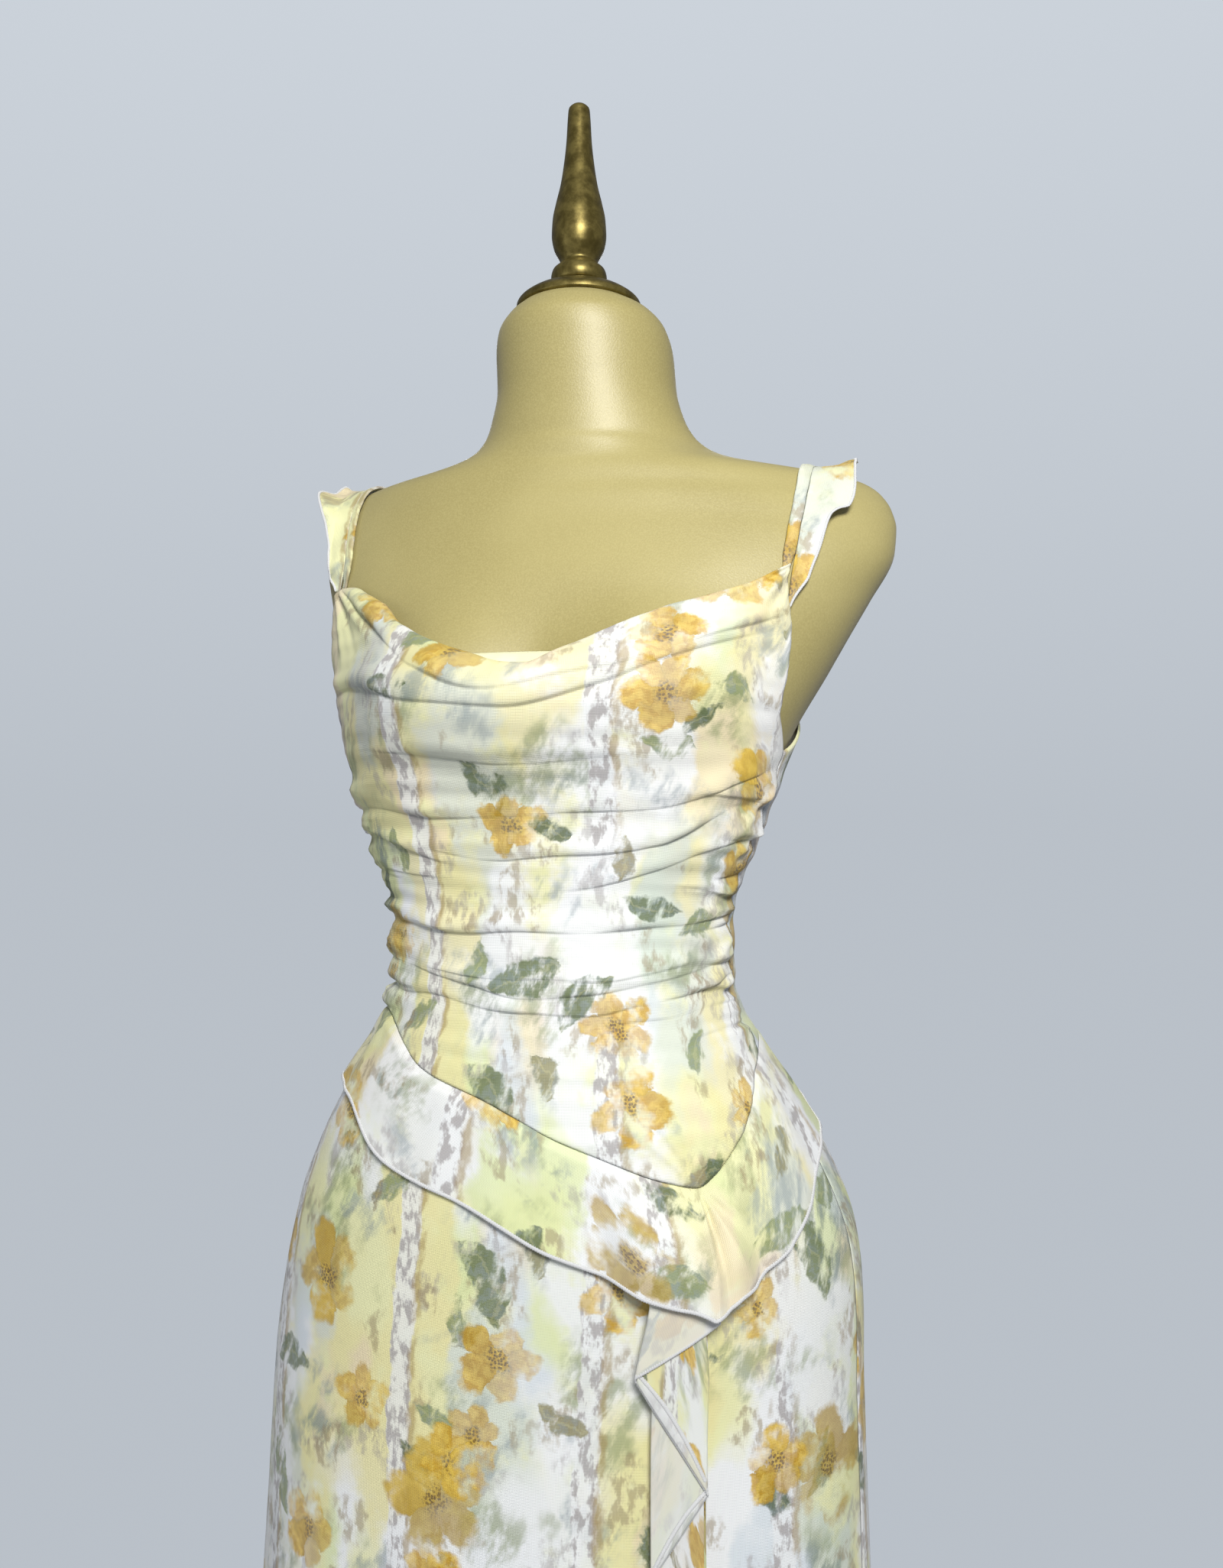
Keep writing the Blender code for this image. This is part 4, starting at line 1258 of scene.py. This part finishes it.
def flower_layer(g, at, scale, radius, petals, share):
    """Open flowers, one to a cell: shape, how far out, gaps, centre, each petal's own and its own."""
    local, red, green, blue = motif_frame(g, at, scale, 0.62)
    x, y, _z = g.apart(local)
    out = g.vector("LENGTH", local).also("Value")
    turn = (g.math("ARCTAN2", y, x) + np.pi) * (petals / (2 * np.pi))
    across = abs(g.math("FRACT", turn) - 0.5)
    petal = g.together(g.math("FLOOR", turn), red * 97.0)
    own = g.node("ShaderNodeTexWhiteNoise", {"Vector": petal}, "Value", noise_dimensions="2D")
    grown = (0.8 + green * 0.35) * radius
    reach = g.math("SQRT", g.math("MAXIMUM", 1.0 - across * across * 3.1, 0.0))
    reach = grown * (0.80 + own * 0.28) * (0.34 + reach * 0.66)
    part = out / reach
    shape = g.step(part, 1.08, 0.90) * g.math("GREATER_THAN", share, blue)
    gap = g.step(across, 0.36, 0.5)
    centre = g.step(out / grown, 0.36, 0.16)
    return shape, part, gap, centre, own, green


def floral_print(g):
    """Loose painted flowers, leaves and washes on a cool white ground, in a layout of its own."""
    flat = g.cloth()
    across, up, side = g.apart(flat)
    at = g.together(across, up)
    wide = g.noise(at, 30, 2.0, 0.5).also("Color")
    fine = g.noise(at, 150, 3.0, 0.6).also("Color")
    loose = g.vector("ADD", g.vector("ADD", at, g.wander(wide, 0.016)), g.wander(fine, 0.0075))
    brush = g.noise(g.scaled(at, 1.0, 0.5), 150, 3.0, 0.62)
    strokes = g.noise(g.scaled(g.turned(at, 0.45), 1.0, 0.45), 85, 4.0, 0.62)
    bloom = g.noise(at, 26, 4.0, 0.6)
    grain = g.noise(at, 700, 2.0, 0.6)

    tall = g.scaled(loose, 1.0, 0.42)
    colour = g.mix(g.step(g.noise(tall, 11.0, 1.0), 0.46, 0.54, 0.90), WHITE, LEMON)
    # Washes: shift, scale, from, to, most, tint
    areas = (
        ((3.1, 0.4), 10.0, 0.51, 0.57, 0.80, LIME),
        ((1.7, 5.2), 10.0, 0.50, 0.57, 0.80, CREAM),
        ((6.3, 2.2), 13.0, 0.57, 0.65, 0.60, BLUSH),
        ((4.4, 7.9), 11.0, 0.54, 0.62, 0.60, MIST),
        ((8.8, 3.3), 9.0, 0.53, 0.60, 0.90, WHITE),
    )
    for shift, scale, low, high, most, tint in areas:
        there = g.step(g.noise(g.moved(tall, *shift), scale), low, high, most)
        colour = g.mix(there * g.step(bloom, 0.22, 0.50), colour, tint)

    # Smudges: shift, scale, from, to, texture, thin at, full at, most, tint
    smudges = (
        ((2.9, 9.1), 15.0, 0.53, 0.66, strokes, 0.36, 0.66, 0.66, SAGE),
        ((7.7, 1.9), 17.0, 0.57, 0.68, strokes, 0.38, 0.66, 0.58, BLUE_GREY),
        ((5.5, 6.6), 21.0, 0.59, 0.68, brush, 0.40, 0.64, 0.50, MAUVE),
        ((9.9, 4.1), 25.0, 0.60, 0.68, brush, 0.40, 0.62, 0.60, TAUPE),
    )
    for shift, scale, low, high, texture, thin_at, full_at, most, tint in smudges:
        there = g.step(g.noise(g.moved(loose, *shift), scale), low, high, most)
        colour = g.mix(there * g.step(texture, thin_at, full_at), colour, tint)

    # Mottled strips, at even steps across the cloth
    swayed = g.apart(g.vector("ADD", at, g.wander(wide, 0.007)))[0]
    ragged = g.math("FRACT", (swayed + 10.0) / STRIP_EVERY) * STRIP_EVERY + (brush - 0.5) * 0.006
    live = g.step(g.noise(g.scaled(at, 9.0, 3.2), 1.0, 1.0), 0.40, 0.47)
    strip = g.step(ragged, STRIP_WIDE, STRIP_WIDE - 0.002) * g.step(ragged, 0.0, 0.002) * live
    colour = g.mix(strip * 0.75, colour, WHITE)
    colour = g.mix(strip * g.step(brush, 0.45, 0.62, 0.72), colour, MAUVE)
    edge = g.step(abs(ragged - STRIP_WIDE), 0.0042, 0.0008) * live
    colour = g.mix(edge * g.step(strokes, 0.34, 0.58, 0.62), colour, BARK)

    streak = g.noise(loose, 160, 3.0, 0.65)
    # Leaves: shift, scale, length, width, share of the cells, tint
    leaves = (
        ((0.31, 0.17), 17.0, 0.042, 0.019, 0.30, SAGE),
        ((2.13, 1.41), 14.0, 0.048, 0.021, 0.30, DARK_LEAF),
        ((5.30, 2.90), 21.0, 0.030, 0.013, 0.20, TAUPE),
    )
    for shift, scale, length, width, share, tint in leaves:
        leaf, rib, own = leaf_layer(g, g.moved(loose, *shift), scale, length, width, share)
        tone = g.mix(own * 0.55, tint, SAGE)
        tone = g.mix(g.step(streak, 0.42, 0.66, 0.45), tone, BLUE_GREY)
        tone = g.mix(rib * 0.16, tone, CREAM)
        colour = g.mix(leaf * g.step(strokes, 0.30, 0.54, 0.88), colour, tone)

    dots = g.cells(at, 480, 0.9)
    # Flowers: shift, scale, radius, petals, share of the cells
    flowers = (
        ((0.05, 0.02), 8.2, 0.032, 5, 0.74),
        ((3.20, 4.10), 10.5, 0.024, 5, 0.36),
        ((6.10, 7.70), 9.3, 0.027, 6, 0.30),
    )
    for shift, *flower in flowers:
        shape, part, gap, centre, own, kind = flower_layer(g, g.moved(loose, *shift), *flower)
        petal = g.mix(g.step(streak, 0.36, 0.62), GOLD, GOLD_PALE)
        petal = g.mix(g.step(kind, 0.62, 0.70, 0.6), petal, OCHRE)
        petal = g.mix(g.step(own, 0.78, 0.98, 0.6), petal, GOLD_PALE)
        petal = g.mix(g.step(bloom, 0.46, 0.62, 0.45), petal, GOLD_DEEP)
        petal = g.mix(g.step(part, 0.88, 1.0, 0.18), petal, GOLD_DEEP)
        petal = g.mix(gap * 0.4, petal, GOLD_DEEP)
        heart = g.mix(g.step(dots, 0.52, 0.28), petal, STAMEN)
        petal = g.mix(centre, petal, g.mix(g.step(grain, 0.40, 0.60, 0.5), heart, GOLD_DEEP))
        veil = g.step(bloom, 0.30, 0.50) * (0.62 + own * 0.38) * 0.96
        colour = g.mix(shape * g.math("MAXIMUM", veil, centre * 0.85), colour, petal)

    return g.mix(side, colour, g.mix(0.62, colour, REVERSE)), flat


def plain_reverse(g):
    flat = g.cloth()
    tint = g.step(g.noise(flat, 24, 3.0), 0.45, 0.65, 0.7)
    return g.mix(tint, LINING_DARK, LINING_LIGHT), flat


def sine_wave(g, value, pitch):
    return g.math("SINE", value * (2 * np.pi / pitch))


def cloth_material(name, colour_of):
    """Fine diagonal mesh, with rows of tiny holes between its threads, in the colour given."""
    g = Graph(bpy.data.materials.new(name))
    colour, flat = colour_of(g)
    x, y, _z = g.apart(flat)
    weave = sine_wave(g, x + y, MESH_PITCH) * sine_wave(g, x - y, MESH_PITCH)
    g.set(Base_Color=g.mix(g.step(weave, 0.2, 1.0, 0.13), colour, MESH_HOLE), Roughness=0.55)
    g.set(Specular_IOR_Level=0.30, Sheen_Weight=0.12, Sheen_Roughness=0.4)
    return g.set(Normal=g.bump(weave, 0.00015, 0.6))


def thread_material():
    g = Graph(bpy.data.materials.new("overlock_thread"))
    ridge = sine_wave(g, g.apart(g.cloth())[0], STITCH_PITCH)
    # The dips between the stitches are painted darker: painted shade that follows the ridges of the bump
    g.set(Base_Color=g.mix(g.step(ridge, -1.0, 1.0), THREAD_PAINTED_SHADE, THREAD_LIGHT))
    return g.set(Roughness=0.6, Sheen_Weight=0.3, Normal=g.bump(ridge, 0.0002, 0.6))


def jersey_material():
    g = Graph(bpy.data.materials.new("form_jersey"))
    fibre = g.grain(900)
    tone = g.mix(g.step(g.grain(9), 0.35, 0.65), JERSEY_DARK, JERSEY_LIGHT)
    tone = g.mix(g.step(fibre, 0.35, 0.7, 0.35), tone, JERSEY_FIBRE)
    g.set(Base_Color=tone, Roughness=0.48, Specular_IOR_Level=0.75)
    return g.set(Sheen_Weight=0.08, Sheen_Roughness=0.4, Normal=g.bump(fibre, 0.0003, 0.45))


def brass_material():
    g = Graph(bpy.data.materials.new("aged_brass"))
    worn = g.grain(110, 6, 0.65)
    g.set(Base_Color=g.mix(g.step(worn, 0.34, 0.66), BRASS_DARK, BRASS_LIGHT), Metallic=0.7)
    return g.set(Roughness=0.33 + g.step(worn, 0.3, 0.7) * 0.10, Normal=g.bump(worn, 0.0003, 0.3))


def paint_material():
    g = Graph(bpy.data.materials.new("stand_paint"))
    speckle = g.grain(220)
    g.set(Base_Color=g.mix(speckle, PAINT_DARK, PAINT_LIGHT), Roughness=0.42)
    return g.set(Normal=g.bump(speckle, 0.0002, 0.3))


def floor_material():
    g = Graph(bpy.data.materials.new("floor"))
    return g.set(Base_Color=g.mix(g.grain(3), FLOOR_DARK, FLOOR_LIGHT), Roughness=0.8)


# The scene


def stand_at(name, data, right, up, away, at):
    """Puts a camera or a light in the scene by its axes; it looks against away."""
    obj = bpy.data.objects.new(name, data)
    bpy.context.scene.collection.objects.link(obj)
    columns = np.column_stack([right, up, away, at])
    obj.matrix_world = Matrix([*columns.tolist(), (0, 0, 0, 1)])
    return obj


def camera():
    turn, yaw, pitch = np.radians((CAMERA_TURN, CAMERA_YAW, CAMERA_PITCH))
    outward = np.array([np.sin(turn), -np.cos(turn), 0.0])
    aside = np.array([np.cos(turn), np.sin(turn), 0.0])
    upward = np.array([0.0, 0.0, 1.0])
    level = -outward * np.cos(yaw) + aside * np.sin(yaw)
    right = aside * np.cos(yaw) + outward * np.sin(yaw)
    forward = level * np.cos(pitch) + upward * np.sin(pitch)
    up = upward * np.cos(pitch) - level * np.sin(pitch)
    at = (outward * CAMERA_DISTANCE + upward * CAMERA_HEIGHT) / 1000
    data = bpy.data.cameras.new("camera")
    data.sensor_fit = "AUTO"
    data.sensor_width = 36.0
    data.lens = data.sensor_width * FOCAL_PIXELS / FRAME_HEIGHT
    data.clip_start = 0.01
    bpy.context.scene.camera = stand_at("camera", data, right, up, -forward, at)


def lights():
    for name, at, target, size, watts, colour in LIGHTS:
        data = bpy.data.lights.new(name, "AREA")
        data.shape = "DISK"
        data.size = size
        data.energy = watts
        data.color = colour
        away = unit(np.array(at) - np.array(target))
        side = unit(np.cross((0, 0, 1), away))
        stand_at(name, data, side, np.cross(away, side), away, at)


def room():
    """A pale wall that only the camera sees, and a round floor."""
    world = bpy.data.worlds.new("studio")
    g = Graph(world, "ShaderNodeBackground", "ShaderNodeOutputWorld")
    height = g.apart(g.node("ShaderNodeTexCoord", output="Generated"))[2]
    rise = g.node("ShaderNodeMapRange", (height, 0.0, WALL_BLEND))
    seen = g.node("ShaderNodeLightPath", output="Is Camera Ray")
    g.set(Color=g.mix(seen, ROOM, g.mix(rise, WALL_LOW, WALL_HIGH)))
    bpy.context.scene.world = world
    bpy.context.scene.view_settings.view_transform = "Standard"
    bpy.ops.mesh.primitive_cylinder_add(vertices=128, radius=FLOOR_RADIUS, depth=FLOOR_THICK)
    floor = bpy.context.object
    floor.name = "floor"
    floor.location.z = -FLOOR_THICK / 2 - FLOOR_GAP
    floor.data.materials.append(floor_material())


def finish(piece, material, slot, *nodes):
    """Gives a piece its material and lets it ride on the body; slot is not used."""
    piece.data.materials.append(material)
    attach(piece, "root")
    if nodes:
        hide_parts(*nodes)
    return piece


for old in list(bpy.data.objects):
    bpy.data.objects.remove(old)

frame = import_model()
camera()
lights()
room()

printed = cloth_material("floral_mesh", floral_print)
lining = cloth_material("lining_mesh", plain_reverse)
thread = thread_material()
jersey = jersey_material()
brass = brass_material()
paint = paint_material()

form = finish(torso(), jersey, "jersey", "form_torso")
finish(turned("brass_neck_cap", CAP, 0.8, 96), brass, "brass", "neck_cap")
finish(turned("brass_finial", FINIAL, 1.0, 72), brass, "brass", "finial")
for node in ("stand_collar", "stand_pole", "stand_foot"):
    stand = frame["nodes"][node]
    stand.data.materials.clear()
    stand.data.materials.append(paint)

front = finish(bodice_front(), printed, "printed_mesh", "bodice_front")
back = finish(bodice_back(), printed, "printed_mesh", "bodice_back")
facing = finish(neck_facing(), lining, "lining", "neck_facing")
skirt_a = skirt("dress_skirt_front", -SIDE_SEAM, SIDE_SEAM, SKIRT_FRONT_GRID, CUT_SKIRT_FRONT)
finish(skirt_a, printed, "printed_mesh", "skirt_front")
skirt_b = skirt("dress_skirt_back", SIDE_SEAM, 360 - SIDE_SEAM, SKIRT_BACK_GRID, CUT_SKIRT_BACK)
finish(skirt_b, printed, "printed_mesh", "skirt_back")
flounce, flounce_edge = hip_flounce()
finish(flounce, printed, "printed_mesh", "hip_flounce")
finish(flounce_edge, thread, "printed_mesh")
cascade, cascade_edge = cascade_ruffle()
finish(cascade, printed, "ruffle_mesh", "cascade_ruffle")
finish(cascade_edge, thread, "ruffle_mesh")
on_cascade = [cascade_edge]
for layer, tall in CURLS:
    curl, curl_edge = cascade_curl(f"dress_cascade_curl_{layer}", layer, tall)
    finish(curl, printed, "ruffle_mesh")
    finish(curl_edge, thread, "ruffle_mesh")
    on_cascade += [curl, curl_edge]

# Columns: side, name, where the strap and the flutter start, their cut, the flutter's flat size
for side, name, strap_start, flutter_start, cut, ruffle_flat in (
    (1, "left", -8.0, -28.0, (210.0, 480.0), (0.035, 0.27)),
    (-1, "right", -4.0, -12.0, (180.0, 655.0), (0.042, 0.25)),
):
    band = strap_piece("dress_strap_" + name, side, strap_start, cut)
    finish(band, printed, "printed_mesh", "strap_" + name)
    ruffle, ruffle_edge = flutter_piece("dress_flutter_" + name, side, flutter_start, cut)
    finish(ruffle, printed, "printed_mesh", "flutter_" + name)
    finish(ruffle_edge, thread, "printed_mesh")
